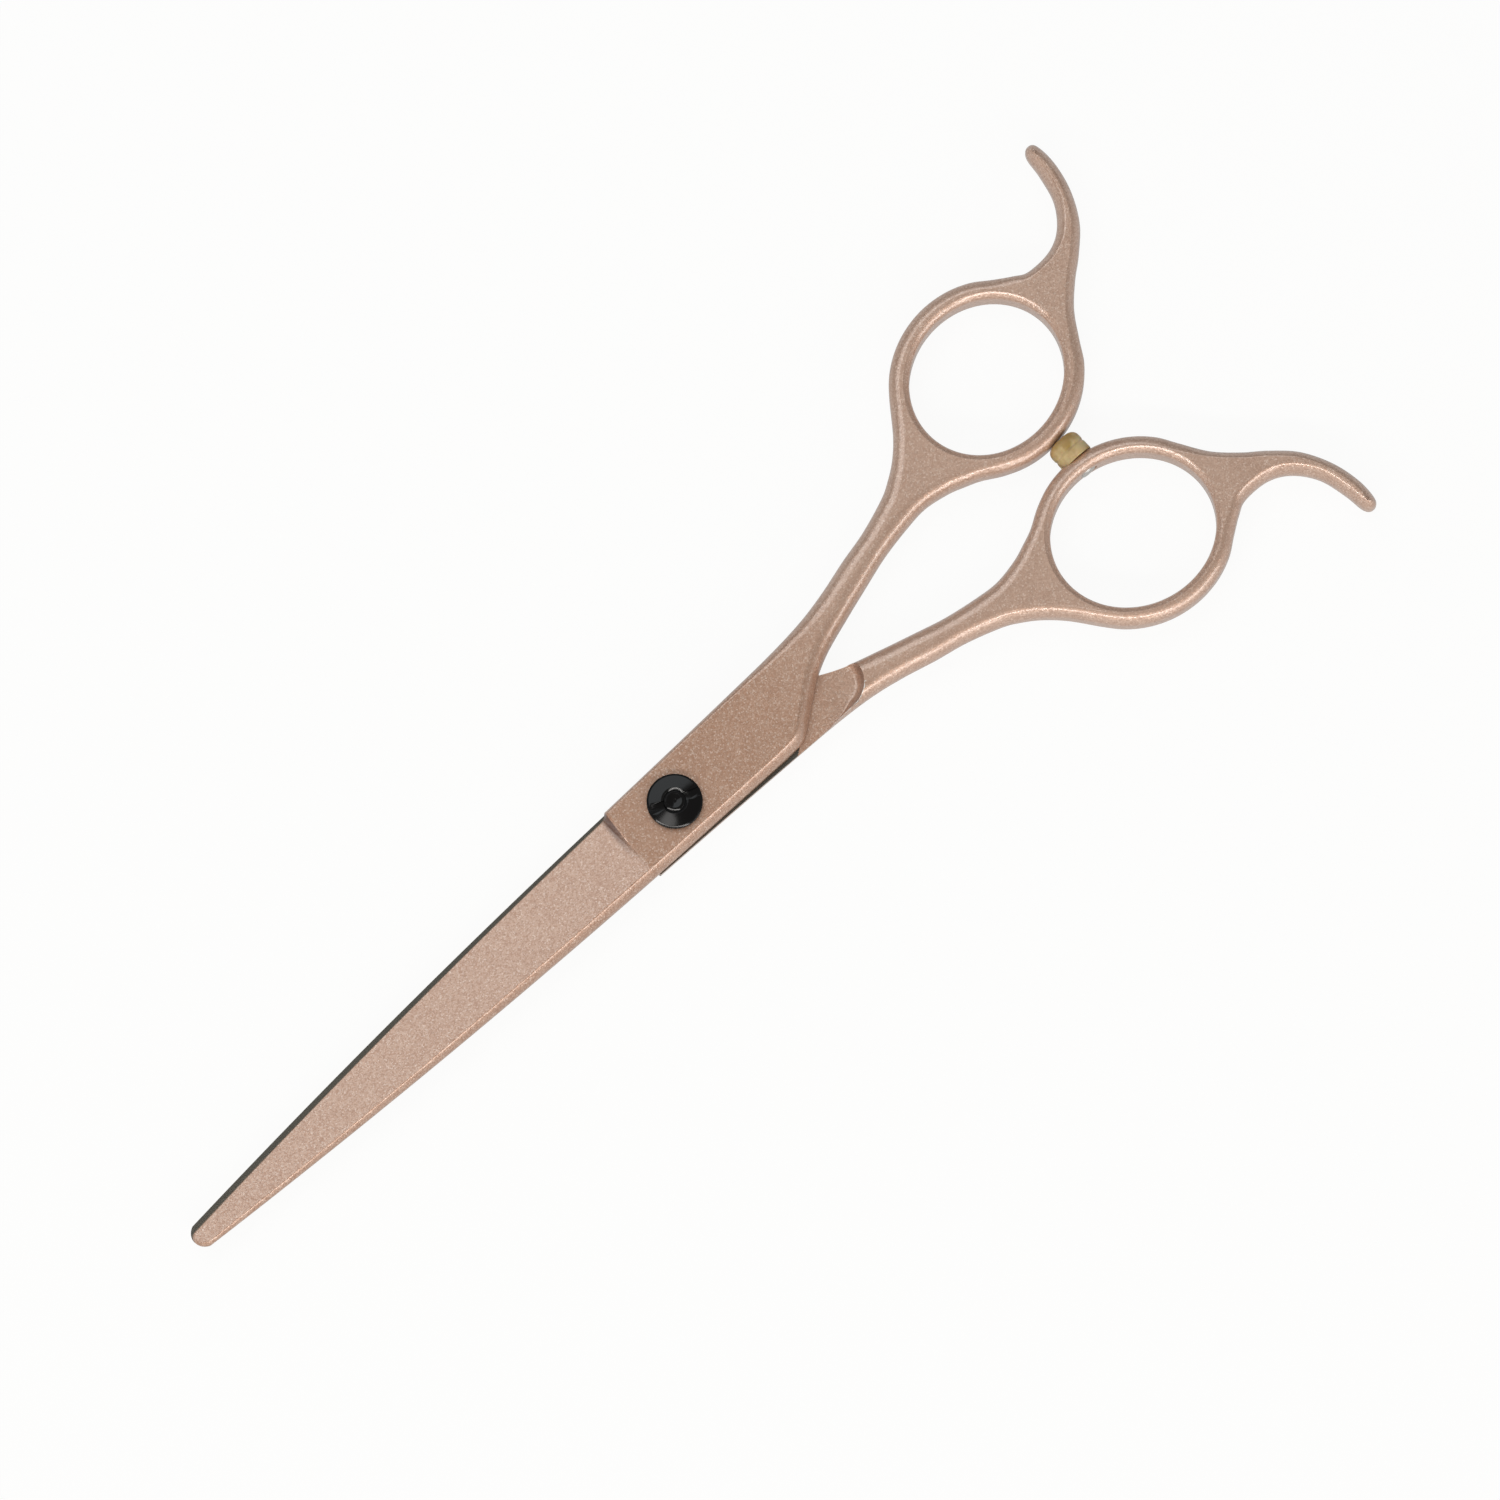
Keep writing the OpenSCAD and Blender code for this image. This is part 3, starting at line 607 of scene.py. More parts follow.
class HalfOutline:
    """One half's outline in millimetres, about the plane where the halves meet.

    A row is x, y, edge width, edge depth, the edge's shape at its top, the face over it (1 the
    ride's plane, 0 the ground face) and the edge's shape at its foot. The rows run
    counter-clockwise."""

    def __init__(self, s):
        self.s = s
        self.grind_x = -s.heel_l - s.plunge_l
        self.fall = (s.half_t - s.edge_t) / (s.edge_heel + s.spine_heel - s.bevel_heel)
        self.trace()

    def along(self, x):
        return (self.grind_x - x) / (self.s.blade_l + self.grind_x)

    def spine_y(self, x):
        return bow(self.s.spine_heel, self.s.spine_mid, self.s.spine_tip, self.along(x))

    def edge_y(self, x):
        return bow(self.s.edge_heel, self.s.edge_mid, self.s.edge_tip, self.along(x))

    def ground(self, x, y):
        """Height of the flat ground face."""
        s = self.s
        return s.edge_t + self.fall * (s.edge_heel + (s.edge_tip - s.edge_heel) * self.along(x) - y)

    def ring_point(self, u, v):
        """A point given in shares of the ring's half lengths."""
        s, turn = self.s, math.radians(self.s.ring_tilt)
        a, b = u * s.ring_a, v * s.ring_b
        return (s.ring_x + a * math.cos(turn) - b * math.sin(turn),
                s.ring_y + a * math.sin(turn) + b * math.cos(turn))

    def spine_row(self, x):
        s = self.s
        width = s.bevel_heel + (s.bevel_tip - s.bevel_heel) * self.along(x)
        y = -self.spine_y(x)
        return [x, y, width, 0.7 * self.ground(x, y + width), BEVEL, 0, BEVEL]

    def edge_row(self, x):
        return [x, self.edge_y(x), 0.2, 0.4, FLAT, 0, FLAT]

    def side_row(self, x, y, width, depth, shape=ROUND):
        return [x, y, width, depth * self.s.half_t, shape, 1, shape]

    def ring_row(self, u, v, width, shape=ROUND):
        return [*self.ring_point(u, v), width, 1.125 * width, shape, 1, ROUND]

    def rest_row(self, u, v):
        return [*self.ring_point(u, v), self.s.rest_edge, 0.88 * self.s.half_t, CREST, 1, ROUND]

    def arc_rows(self, start, end, steps):
        turns = [math.radians(start + (end - start) * i / steps) for i in range(steps + 1)]
        return [self.ring_row(math.cos(t), math.sin(t), self.s.ring_edge, CREST) for t in turns]

    def trace(self):
        """The rows, and where along them the parts of the outline meet."""
        s, rear, side = self.s, self.s.ride_l, self.side_row
        start, far, shank = self.grind_x, 1.3 - self.s.blade_l, self.s.shank_edge
        spine = [self.spine_row(far + (start - far) * i / BLADE_STEPS)
                 for i in range(BLADE_STEPS + 1)]
        # Ride's spine side, the rear edge up to the fork and the shank's inner edge
        inner = [
            side(-2, -s.spine_heel - 0.06, s.bevel_heel, 0.7, BEVEL),
            side(rear - 7, -s.spine_heel - 0.1, s.bevel_heel, 0.7, BEVEL),
            side(rear - 1.6, -s.spine_heel - 0.1, 1.15 * s.bevel_heel, 0.75, CREST),
            side(rear + 1, -s.spine_heel + 0.25, 1.3 * s.bevel_heel, 0.8, 1.35),
            side(rear + 3.4, -3.85, 1.6, 0.85, 1.25),
            side(rear + 6.3, -1.75, 1.8, 0.9, 1.15),
            side(rear + 9, 0.08, 2, 0.95),
            side(rear + 12.6, 1.72, shank, 0.95),
            side(rear + 17.2, 3.18, shank, 0.95),
            side(rear + 22.2, 4.65, shank, 0.95),
            *[self.ring_row(*row) for row in (
                (-2, -0.24, shank), (-1.65, -0.25, shank), (-1.39, -0.28, 2), (-1.14, -0.38, 1.8))]]
        lower = [self.ring_row(-0.98, -0.48, 1.7), self.ring_row(-0.84, -0.58, 1.6),
                 *self.arc_rows(-132, -34, 7)]
        rest = [self.rest_row(u, v) for u, v in (
            (1.05, -0.32), (1.3, -0.14), (1.53, -0.01), (1.79, 0.18), (2, 0.46), (2.13, 0.77),
            (2.165, 1.03), (2.095, 1.1), (2.015, 1.04), (1.94, 0.81), (1.81, 0.53), (1.6, 0.33),
            (1.37, 0.26), (1.1, 0.31))]
        upper = [self.ring_row(0.97, 0.41, s.ring_edge), *self.arc_rows(35, 135, 8)]
        heel = side(-s.heel_l, s.ride_w, 0.7, 0.9)
        outer = [
            *[self.ring_row(*row) for row in (
                (-0.98, 0.45, 1.7), (-1.19, 0.3, 1.8), (-1.38, 0.21, 2), (-1.57, 0.15, shank),
                (-1.94, 0.1, shank))],
            side(rear + 22.2, 9.5, shank, 0.95),
            side(rear + 17.2, 8.2, shank, 0.95),
            side(rear + 12.2, 7.25, 2, 0.95),
            side(rear + 6, s.ride_w + 0.88, 1.5, 0.92),
            side(rear - 2, s.ride_w + 0.58, 1, 0.9),
            side(5, s.ride_w + 0.27, 0.75, 0.9),
            heel]
        # The run-out turns over the ride's front edge, falls steeply and flattens into the ground
        # face
        plunge = []
        for i in range(1, PLUNGE_STEPS + 1):
            u = (i / PLUNGE_STEPS) ** 1.5
            f = (1 - 1.08 * u * u / (u + 0.08)) ** 2.6
            row = [a * f + b * (1 - f) for a, b in zip(heel, self.edge_row(start))]
            plunge.append([-s.heel_l - s.plunge_l * u, *row[1:]])
        near = 0.8 - s.blade_l
        edge = [self.edge_row(start + (near - start) * i / BLADE_STEPS)
                for i in range(1, BLADE_STEPS + 1)]
        pulls = np.array([self.edge_row(near),
                          [-s.blade_l - 0.35, s.edge_tip - 0.3, 0.25, 0.4, FLAT, 0, FLAT],
                          [-s.blade_l - 0.35, 0.6 - s.spine_tip, 0.4, 0.5, BEVEL, 0, BEVEL],
                          self.spine_row(far)])
        tip = []
        for i in range(1, TIP_STEPS):
            u = i / TIP_STEPS
            weights = np.array([(1 - u) ** 3, 3 * u * (1 - u) ** 2, 3 * u * u * (1 - u), u ** 3])
            tip.append(weights @ pulls)
        first = [*spine[-1][:5], 1, spine[-1][6]]
        handle = smooth_curve([first, *inner, *lower, *rest, *upper, *outer], SPAN_STEPS)
        self.rows = np.array([*spine, *handle[1:], heel, *plunge, *edge, *tip], float)
        self.i_grind = BLADE_STEPS
        self.i_fork = self.i_grind + SPAN_STEPS * len(inner)
        self.i_rest = self.i_fork + SPAN_STEPS * (len(lower) + 1)
        self.i_end = self.i_rest + SPAN_STEPS * REST_TIP
        self.i_back = self.i_rest + SPAN_STEPS * (len(rest) - 1)
        self.i_shank = self.i_back + SPAN_STEPS * (len(upper) + 2)
        self.i_heel = self.i_back + SPAN_STEPS * (len(upper) + len(outer))
        self.i_edge = self.i_heel + len(plunge)

    def layers(self):
        """Turns round an edge from its top to its side. None is the flat strip inside it."""
        return [None, *[math.radians(90 * (k / EDGE_STEPS) ** 1.25) for k in range(EDGE_STEPS + 1)]]

    def blank(self, extra):
        """The forged blank with its finger hole, wider by extra, as points and faces."""
        s, rows, n = self.s, self.rows, len(self.rows)
        way = np.roll(rows, -1, 0)[:, :2] - np.roll(rows, 1, 0)[:, :2]
        way = np.stack([way[:, 1], -way[:, 0]], 1) / np.linalg.norm(way, axis=1, keepdims=True)
        width, depth, shape, top, foot = rows[:, 2:].T

        def inward(turn):
            return width + CREASE if turn is None else width * (1 - math.sin(turn) ** shape)

        def downward(turn):
            return 0 * depth if turn is None else depth * (1 - abs(math.cos(turn)) ** foot)

        def height(p):
            return top * s.half_t + (1 - top) * np.minimum(s.half_t, self.ground(p[:, 0], p[:, 1]))

        rim = height(rows[:, :2] - way * width[:, None])
        above, below = [], []
        for turn in self.layers():
            p = rows[:, :2] - way * inward(turn)[:, None]
            z = height(p) if turn is None else rim - downward(turn)
            above.append(np.column_stack([p, z]))
            below.insert(0, np.column_stack([p, downward(turn) - s.half_t]))
        outside = above + below
        ring = [math.radians(180 + 360 * j / HOLE_STEPS) for j in range(HOLE_STEPS)]
        over, under = [], []
        for turn in self.layers():
            grow, drop = s.hole_edge + CREASE, 0
            if turn is not None:
                grow = s.hole_edge * math.cos(turn) ** 2
                drop = HOLE_FALL * s.hole_edge * (1 - math.cos(turn))
            grow += extra / 2
            p = [self.ring_point((s.hole_l / 2 + grow) / s.ring_a * math.cos(t),
                                 (s.hole_w / 2 + grow) / s.ring_b * math.sin(t)) for t in ring]
            over.append(np.array([[*q, s.half_t - drop] for q in p]))
            under.insert(0, np.array([[*q, drop - s.half_t] for q in p]))
        points = np.concatenate([*outside, *over, *under])
        count = len(outside)
        h0 = count * n
        faces = []
        for base, size, turned in ((0, n, False), (h0, HOLE_STEPS, True)):
            for k in range(count - 1):
                for i in range(size):
                    a, b = base + k * size + i, base + k * size + (i + 1) % size
                    quad = (a, a + size, b + size, b)
                    faces.append(quad[::-1] if turned else quad)
        faces += self.caps(points, n, h0, count)
        return points, faces

    def caps(self, points, n, h0, count):
        """The flat faces over and under the blank."""
        to_shank, to_rest = h0, h0 + HOLE_STEPS // 2
        ring = bridge(points, run(self.i_fork, self.i_rest), run(to_shank, to_rest))
        ring += bridge(points, run(self.i_back, self.i_shank),
                       [*run(to_rest, h0 + HOLE_STEPS - 1), to_shank])
        ring += [(self.i_fork, self.i_shank, to_shank), (self.i_rest, to_rest, self.i_back)]
        ring += bridge(points, run(self.i_rest, self.i_end), run(self.i_back, self.i_end + 1))
        over = ring + bridge(points, run(0, self.i_grind), run(n - 1, self.i_edge))
        over += [(self.i_grind, i + 1, i) for i in range(self.i_heel, self.i_edge)]
        over += bridge(points, run(self.i_grind, self.i_fork), run(self.i_heel, self.i_shank))
        under = ring + bridge(points, run(0, self.i_fork), run(n - 1, self.i_shank))
        low = {True: (count - 1) * n, False: (count - 1) * HOLE_STEPS}
        return over + [tuple(q + low[q < h0] for q in f) for f in under]

    def hollow(self):
        """What is ground out of the inner face along the blade, as points and faces."""
        s = self.s
        wide = HOLLOW_ACROSS + 3
        points = []
        for i in range(HOLLOW_STEPS + 1):
            u = i / HOLLOW_STEPS
            x = self.grind_x - 1 - (s.blade_l + self.grind_x - 3.5) * u
            low, high = 0.9 - self.spine_y(x), self.edge_y(x) - 0.7
            deep = s.hollow_d * (1 - (2 * u - 1) ** 4) + 0.01
            for j in range(wide):
                c = min(max(2 * (j - 1) / HOLLOW_ACROSS - 1, -1), 1)
                z = -0.5 if j in (0, wide - 1) else s.inner_z - 0.01 + deep * (1 - c * c)
                points.append((x, (low + high) / 2 + c * (high - low) / 2, z))
        return points, swept(HOLLOW_STEPS, wide)

    def pocket(self):
        """What is machined off under the ride, as points and faces.

        It is flat and open on both sides up to the ride's rear corner. From there it has a side
        whose slope grows towards the cutter that ends the pocket."""
        s = self.s
        low, flat, side = -s.half_t - 2, s.ride_l + 0.6, s.pocket_y + s.pocket_r - 0.03
        ends = [(-s.blade_l - 10, 20, 0), (flat - 0.01, 20, 0)]
        for i in range(POCKET_STEPS + 1):
            u = i / POCKET_STEPS
            ends.append((flat + (s.pocket_x - flat) * u, side, u ** 4))
        points = []
        for x, y, grown in ends:
            wide, high = self.pocket_slope(grown)
            wall = soft_corners([(wide + 1, 0, 0), (wide, 0, 0.8 * wide), (0, high, 0.5 * wide),
                                 (0, high + 1, 0)], False)
            points += [(x, -20, low), (x, -20, s.inner_z)]
            points += [(x, y - p.x, s.inner_z - p.y) for p in wall]
            points.append((x, y, low))
        return points, swept(len(ends) - 1, len(wall) + 3)

    def pocket_slope(self, grown):
        """Width and height of the slope at the foot of the pocket's wall, grown from 0 to 1."""
        f = self.s.pocket_fillet
        return 0.05 + (0.6 * f - 0.05) * grown, 0.05 + (1.1 * f - 0.05) * grown


def added(name, data):
    """A new object in the scene."""
    made = bpy.data.objects.new(name, data)
    bpy.context.scene.collection.objects.link(made)
    return made


def face_outwards(mesh):
    """Turns a closed mesh's faces outwards."""
    sheet = bmesh.new()
    sheet.from_mesh(mesh)
    bmesh.ops.recalc_face_normals(sheet, faces=sheet.faces)
    sheet.to_mesh(mesh)
    sheet.free()


def mesh_piece(name, points, faces):
    """A closed mesh whose faces point outwards."""
    mesh = bpy.data.meshes.new(name)
    mesh.from_pydata([tuple(map(float, p)) for p in points], [], faces)
    face_outwards(mesh)
    return added(name, mesh)


def block(low, high):
    """A box between two corners."""
    points = [(x, y, z) for x in (low[0], high[0]) for y in (low[1], high[1])
              for z in (low[2], high[2])]
    faces = [(0, 1, 3, 2), (4, 6, 7, 5), (0, 4, 5, 1), (2, 3, 7, 6), (0, 2, 6, 4), (1, 5, 7, 3)]
    return mesh_piece("cutter", points, faces)


def settle(piece):
    """Makes a piece and its modifiers one plain mesh."""
    graph = bpy.context.evaluated_depsgraph_get()
    mesh = bpy.data.meshes.new_from_object(piece.evaluated_get(graph))
    piece.modifiers.clear()
    old, piece.data = piece.data, mesh
    bpy.data.meshes.remove(old)


def carve(piece, cutter, operation="DIFFERENCE"):
    """Cuts one piece with another, which is used up."""
    cut = piece.modifiers.new("cut", "BOOLEAN")
    cut.operation = operation
    cut.solver = "EXACT"
    cut.object = cutter
    settle(piece)
    bpy.data.objects.remove(cutter)


def weld(piece):
    """Joins points that lie closer than a micrometre, where cuts met."""
    sheet = bmesh.new()
    sheet.from_mesh(piece.data)
    bmesh.ops.remove_doubles(sheet, verts=sheet.verts, dist=0.001)
    bmesh.ops.dissolve_degenerate(sheet, dist=0.0002, edges=sheet.edges)
    sheet.to_mesh(piece.data)
    sheet.free()


def soft_corners(corners, closed, steps=5):
    """A profile whose corners, each given as radius, height and rounding, are rounded off."""
    line, n = [], len(corners)
    for i, (r, z, rounding) in enumerate(corners):
        here = Vector((r, z))
        if rounding == 0 or (not closed and i in (0, n - 1)):
            line.append(here)
            continue
        back = Vector(corners[i - 1][:2]) - here
        on = Vector(corners[(i + 1) % n][:2]) - here
        half = back.angle(on) / 2
        reach = min(rounding / math.tan(half), 0.8 * back.length, 0.8 * on.length)
        halfway = (back.normalized() + on.normalized()).normalized()
        middle = here + halfway * (reach / math.cos(half))
        start, end = (here + d.normalized() * reach - middle for d in (back, on))
        sweep = start.angle_signed(end)
        for k in range(steps + 1):
            turn = -sweep * k / steps
            line.append(middle + Matrix.Rotation(turn, 2) @ start)
    return line


def turning_tree():
    """Geometry nodes that turn a profile, drawn as radius and height, about the Z axis."""
    tree = bpy.data.node_groups.new("turned_piece", "GeometryNodeTree")
    face = tree.interface
    face.new_socket("Profile", in_out="INPUT", socket_type="NodeSocketGeometry")
    for name, kind in (("Steps", "NodeSocketInt"), ("Guide Radius", "NodeSocketFloat"),
                       ("Merge", "NodeSocketFloat"), ("Finish", "NodeSocketMaterial")):
        face.new_socket(name, in_out="INPUT", socket_type=kind)
    face.new_socket("Piece", in_out="OUTPUT", socket_type="NodeSocketGeometry")

    kinds = {
        "given": "NodeGroupInput", "profile": "GeometryNodeMeshToCurve",
        "guide": "GeometryNodeCurvePrimitiveCircle", "upright": "GeometryNodeSetCurveNormal",
        "sweep": "GeometryNodeCurveToMesh", "merge": "GeometryNodeMergeByDistance",
        "plain": "GeometryNodeRealizeInstances", "dress": "GeometryNodeSetMaterial",
        "result": "NodeGroupOutput"}
    nodes = {name: tree.nodes.new(kind) for name, kind in kinds.items()}
    nodes["guide"].mode = "RADIUS"
    nodes["upright"].mode = "Z_UP"
    for start, output, end, entry in (
            ("given", "Profile", "profile", "Mesh"), ("given", "Steps", "guide", "Resolution"),
            ("given", "Guide Radius", "guide", "Radius"), ("guide", "Curve", "upright", "Curve"),
            ("upright", "Curve", "sweep", "Curve"), ("profile", "Curve", "sweep", "Profile Curve"),
            ("sweep", "Mesh", "merge", "Geometry"), ("given", "Merge", "merge", "Distance"),
            ("merge", "Geometry", "plain", "Geometry"), ("plain", "Geometry", "dress", "Geometry"),
            ("given", "Finish", "dress", "Material"), ("dress", "Geometry", "result", "Piece")):
        tree.links.new(nodes[start].outputs[output], nodes[end].inputs[entry])
    return tree


def turned(name, corners, material, closed=False):
    """A piece turned about the Z axis from a profile's corners."""
    tree = bpy.data.node_groups.get("turned_piece") or turning_tree()
    guide = 1.0
    line = soft_corners(corners, closed)
    mesh = bpy.data.meshes.new(name)
    edges = [(i, i + 1) for i in range(len(line) - 1)] + ([(len(line) - 1, 0)] if closed else [])
    mesh.from_pydata([(p.x - guide, -p.y, 0.0) for p in line], edges, [])
    piece = added(name, mesh)
    maker = piece.modifiers.new("turn", "NODES")
    maker.node_group = tree
    values = {"Steps": TURN_STEPS, "Guide Radius": guide, "Merge": 1e-5, "Finish": material}
    for item in tree.interface.items_tree:
        if item.item_type == "SOCKET" and item.name in values:
            maker[item.identifier] = values[item.name]
    settle(piece)
    face_outwards(piece.data)
    return piece


def fit(piece, node, place, material=None):
    """Gives a piece its place in metres, its shading and its finish, and puts it for its node."""
    mesh = piece.data
    mesh.transform(Matrix.Scale(MM, 4) @ place)
    mesh.shade_smooth()
    mesh.set_sharp_from_angle(angle=SHARP)
    if material:
        mesh.materials.clear()
        mesh.materials.append(material)
        mesh.polygons.foreach_set("material_index", np.zeros(len(mesh.polygons), np.int32))
    mesh.update()
    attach(piece, BODY_OF[node])
    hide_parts(node)


def forged_half(name, s, extra):
    """One half, its finger hole wider by extra, ground and machined but without its pivot hole."""
    outline = HalfOutline(s)
    half = mesh_piece(name, *outline.blank(extra))
    carve(half, mesh_piece("cutter", *outline.pocket()))
    r, z, low = s.pocket_r, s.inner_z, s.inner_z - s.half_t - 2
    wide, high = outline.pocket_slope(1)
    cutter = turned("cutter", [(0, z, 0), (r - wide, z, 0.8 * wide), (r, z - high, 0.5 * wide),
                               (r, low, 0), (0, low, 0)], None)
    cutter.data.transform(Matrix.Translation((s.pocket_x, s.pocket_y, 0)))
    carve(half, cutter)
    carve(half, mesh_piece("cutter", *outline.hollow()))
    weld(half)
    return half


def mark_faces(piece, s):
    """Marks the ground inner faces, which look at the other half, and the pocket's slope, where shade
    is painted.
    """
    mesh = piece.data
    count = len(mesh.polygons)
    normal, middle = np.zeros(3 * count, np.float32), np.zeros(3 * count, np.float32)
    mesh.polygons.foreach_get("normal", normal)
    mesh.polygons.foreach_get("center", middle)
    facing, (x, y, z) = normal.reshape(-1, 3)[:, 2], middle.reshape(-1, 3).T
    bare = (facing < -0.9) & (z > -0.2) & (z < s.inner_z + s.hollow_d + 0.05)
    in_pocket = (z < s.inner_z) & (np.hypot(x - s.pocket_x, y - s.pocket_y) < s.pocket_r + 0.02)
    in_pocket &= x > s.pocket_x - 2
    # The pocket's slope gets painted shade in the paint's shader
    steep = in_pocket & (facing > -0.995)
    for name, values in (("bare_face", bare), ("painted_shade_slope", steep)):
        mark = mesh.attributes.new(name, "FLOAT", "FACE")
        mark.data.foreach_set("value", values.astype(np.float32))
    mark_lip(mesh, s)


def mark_lip(mesh, s):
    """Marks the thin lip beside the pocket, where a highlight is painted."""
    lip = np.zeros(len(mesh.vertices), np.float32)
    sheet = bmesh.new()
    sheet.from_mesh(mesh)
    for edge in sheet.edges:
        x, y, z = (edge.verts[0].co + edge.verts[1].co) / 2
        beside = s.ride_l + 3 < x < s.pocket_x + 3 and y > s.pocket_y + 2.5
        below = z < s.inner_z - 0.02 and len(edge.link_faces) == 2
        if beside and below and edge.calc_face_angle() > math.radians(35):
            for vertex in edge.verts:
                lip[vertex.index] = 1
    sheet.free()
    mesh.attributes.new("lip", "FLOAT", "POINT").data.foreach_set("value", lip)


def bore(radius, low, high):
    """A round cutter on the pivot's axis."""
    return turned("cutter", [(0, low, 0), (radius, low, 0), (radius, high, 0), (0, high, 0)], None)


def lifted(s, turn=0.0):
    """From the meeting plane to the height above the rest face, turned over about X if asked."""
    return Matrix.Translation((0, 0, s.half_t)) @ Matrix.Rotation(turn, 4, "X")


def on_bumper_axis(s, y):
    """From a piece made along Z to the bumper's axis, pointing at the front ring."""
    return Matrix.Translation((s.bumper_x, y, s.half_t)) @ Matrix.Rotation(-math.pi / 2, 4, "X")


class SHEARS_OT_halves(bpy.types.Operator):
    """Build the two painted halves, which are one forging turned over"""
    bl_idname = "shears.halves"
    bl_label = "Halves"

    def execute(self, context):
        s = shears_sizes()
        front = forged_half("shears_front_half", s, 0)
        back = forged_half("shears_back_half", s, s.back_hole)
        high = s.half_t + 1
        carve(front, bore(s.bush_d / 2 + s.seat_gap, -1, high))
        carve(front, bore(s.flange_d / 2 + s.seat_gap, s.bush_top, high))
        carve(back, bore(s.stud_d / 2 + s.seat_gap, -1, high))
        head = bore(s.head_d / 2 + s.seat_gap, s.half_t - s.head_t, high)
        flat = s.head_flats / 2 + s.seat_gap
        reach = CUTTER_REACH
        carve(head, block((-reach, -flat, -reach), (reach, flat, reach)), "INTERSECT")
        carve(back, head)
        # The back half is turned over at the end, so its bumper is cut on the other side here
        place = Matrix.Translation((s.bumper_x, 0, 0)) @ Matrix.Rotation(-math.pi / 2, 4, "X")
        for radius, deep in ((s.pin_d / 2 + s.seat_gap, s.ring_y),
                             (s.bumper_d / 2 + 0.2, s.bumper_base)):
            cutter = bore(radius, 0, deep)
            cutter.data.transform(place)
            carve(back, cutter)
        for piece in (front, back):
            mark_faces(piece, s)
        fit(front, "front_half", lifted(s), rose_paint(1))
        fit(back, "back_half", lifted(s, math.pi), rose_paint(-1))
        return {"FINISHED"}


class SHEARS_OT_pivot_stud(bpy.types.Operator):
    """Build the blackened stud with its flush head"""
    bl_idname = "shears.pivot_stud"
    bl_label = "Pivot stud"

    def execute(self, context):
        s = shears_sizes()
        shank, thread, head, top = s.stud_d / 2, s.thread_d / 2, s.head_d / 2, s.nut_top - 0.05
        under = s.head_t - s.half_t
        stud = turned("shears_pivot_stud", [
            (0, -s.half_t, 0), (head, -s.half_t, 0.12), (head, under, 0.05), (shank, under, 0),
            (shank, s.bush_top, 0.06), (thread, s.bush_top, 0), (thread, top - 0.16, 0.04),
            (thread - 0.25, top, 0.06), (1, top, 0.1), (0.3, top - 0.3, 0.2), (0, top - 0.3, 0)],
            black_steel())
        flat, reach = s.head_flats / 2, CUTTER_REACH
        for low, high in ((-reach, -flat), (flat, reach)):
            carve(stud, block((-reach, low, -reach), (reach, high, under + 0.2)))
        fit(stud, "pivot_stud", lifted(s))
        return {"FINISHED"}


class SHEARS_OT_pivot_rings(bpy.types.Operator):
    """Build the bush, the friction washer and the spring washer inside the pivot"""
    bl_idname = "shears.pivot_rings"
    bl_label = "Pivot rings"

    def execute(self, context):
        s = shears_sizes()
        bronze = plain_metal("bronze", (0.55, 0.36, 0.15), 0.3, 0.08)
        spring = plain_metal("spring_steel", (0.5, 0.5, 0.52), 0.22, 0.06)
        run_r, bush, flange = s.stud_d / 2 + s.run_gap, s.bush_d / 2, s.flange_d / 2
        made = turned("shears_pivot_bush", [
            (run_r, s.inner_z, 0.06), (bush, s.inner_z, 0.06), (bush, s.bush_top, 0),
            (flange, s.bush_top, 0.05), (flange, s.flange_top, 0.05), (run_r, s.flange_top, 0.06)],
            bronze, closed=True)
        fit(made, "pivot_bush", lifted(s))
        made = turned("shears_friction_washer", [
            (run_r, s.flange_top, 0.04), (flange, s.flange_top, 0.06),
            (flange, s.washer_top, 0.06), (run_r, s.washer_top, 0.04)], white_nylon(), closed=True)
        fit(made, "friction_washer", lifted(s))
        inside, outside = s.thread_d / 2 + s.run_gap, flange - 0.15
        low = s.washer_top
        made = turned("shears_spring_washer", [
            (inside, low + s.spring_h, 0.04), (outside, low, 0.04), (outside, low + s.spring_t, 0.04),
            (inside, low + s.spring_h + s.spring_t, 0.04)], spring, closed=True)
        fit(made, "spring_washer", lifted(s))
        return {"FINISHED"}


class SHEARS_OT_tension_nut(bpy.types.Operator):
    """Build the black slotted nut that sets the blades' tension"""
    bl_idname = "shears.tension_nut"
    bl_label = "Tension nut"

    def execute(self, context):
        s = shears_sizes()
        rim, hole = s.nut_d / 2, s.thread_d / 2 + s.run_gap
        nut = turned("shears_tension_nut", [
            (hole, s.spring_top, 0), (rim - 0.25, s.spring_top, 0.1), (rim, s.spring_top + 0.25, 0.1),
            (rim, s.rim_top - 0.65 * s.nut_edge, 0.1), (rim - s.nut_edge, s.rim_top, 0.1),
            (hole + 0.35, s.nut_top, 0.06), (hole, s.nut_top - 0.22, 0.04)],
            black_steel(), closed=True)
        slot = block((-rim - 1, -s.slot_w / 2, s.nut_top - s.slot_d),
                     (rim + 1, s.slot_w / 2, s.nut_top + 1))
        slot.data.transform(Matrix.Rotation(math.radians(s.slot_turn), 4, "Z"))
        carve(nut, slot)
        worn = nut.modifiers.new("worn", "BEVEL")
        worn.width = 0.06
        worn.segments = 2
        worn.limit_method = "ANGLE"
        worn.angle_limit = math.radians(60)
        settle(nut)
        fit(nut, "tension_nut", lifted(s))
        return {"FINISHED"}


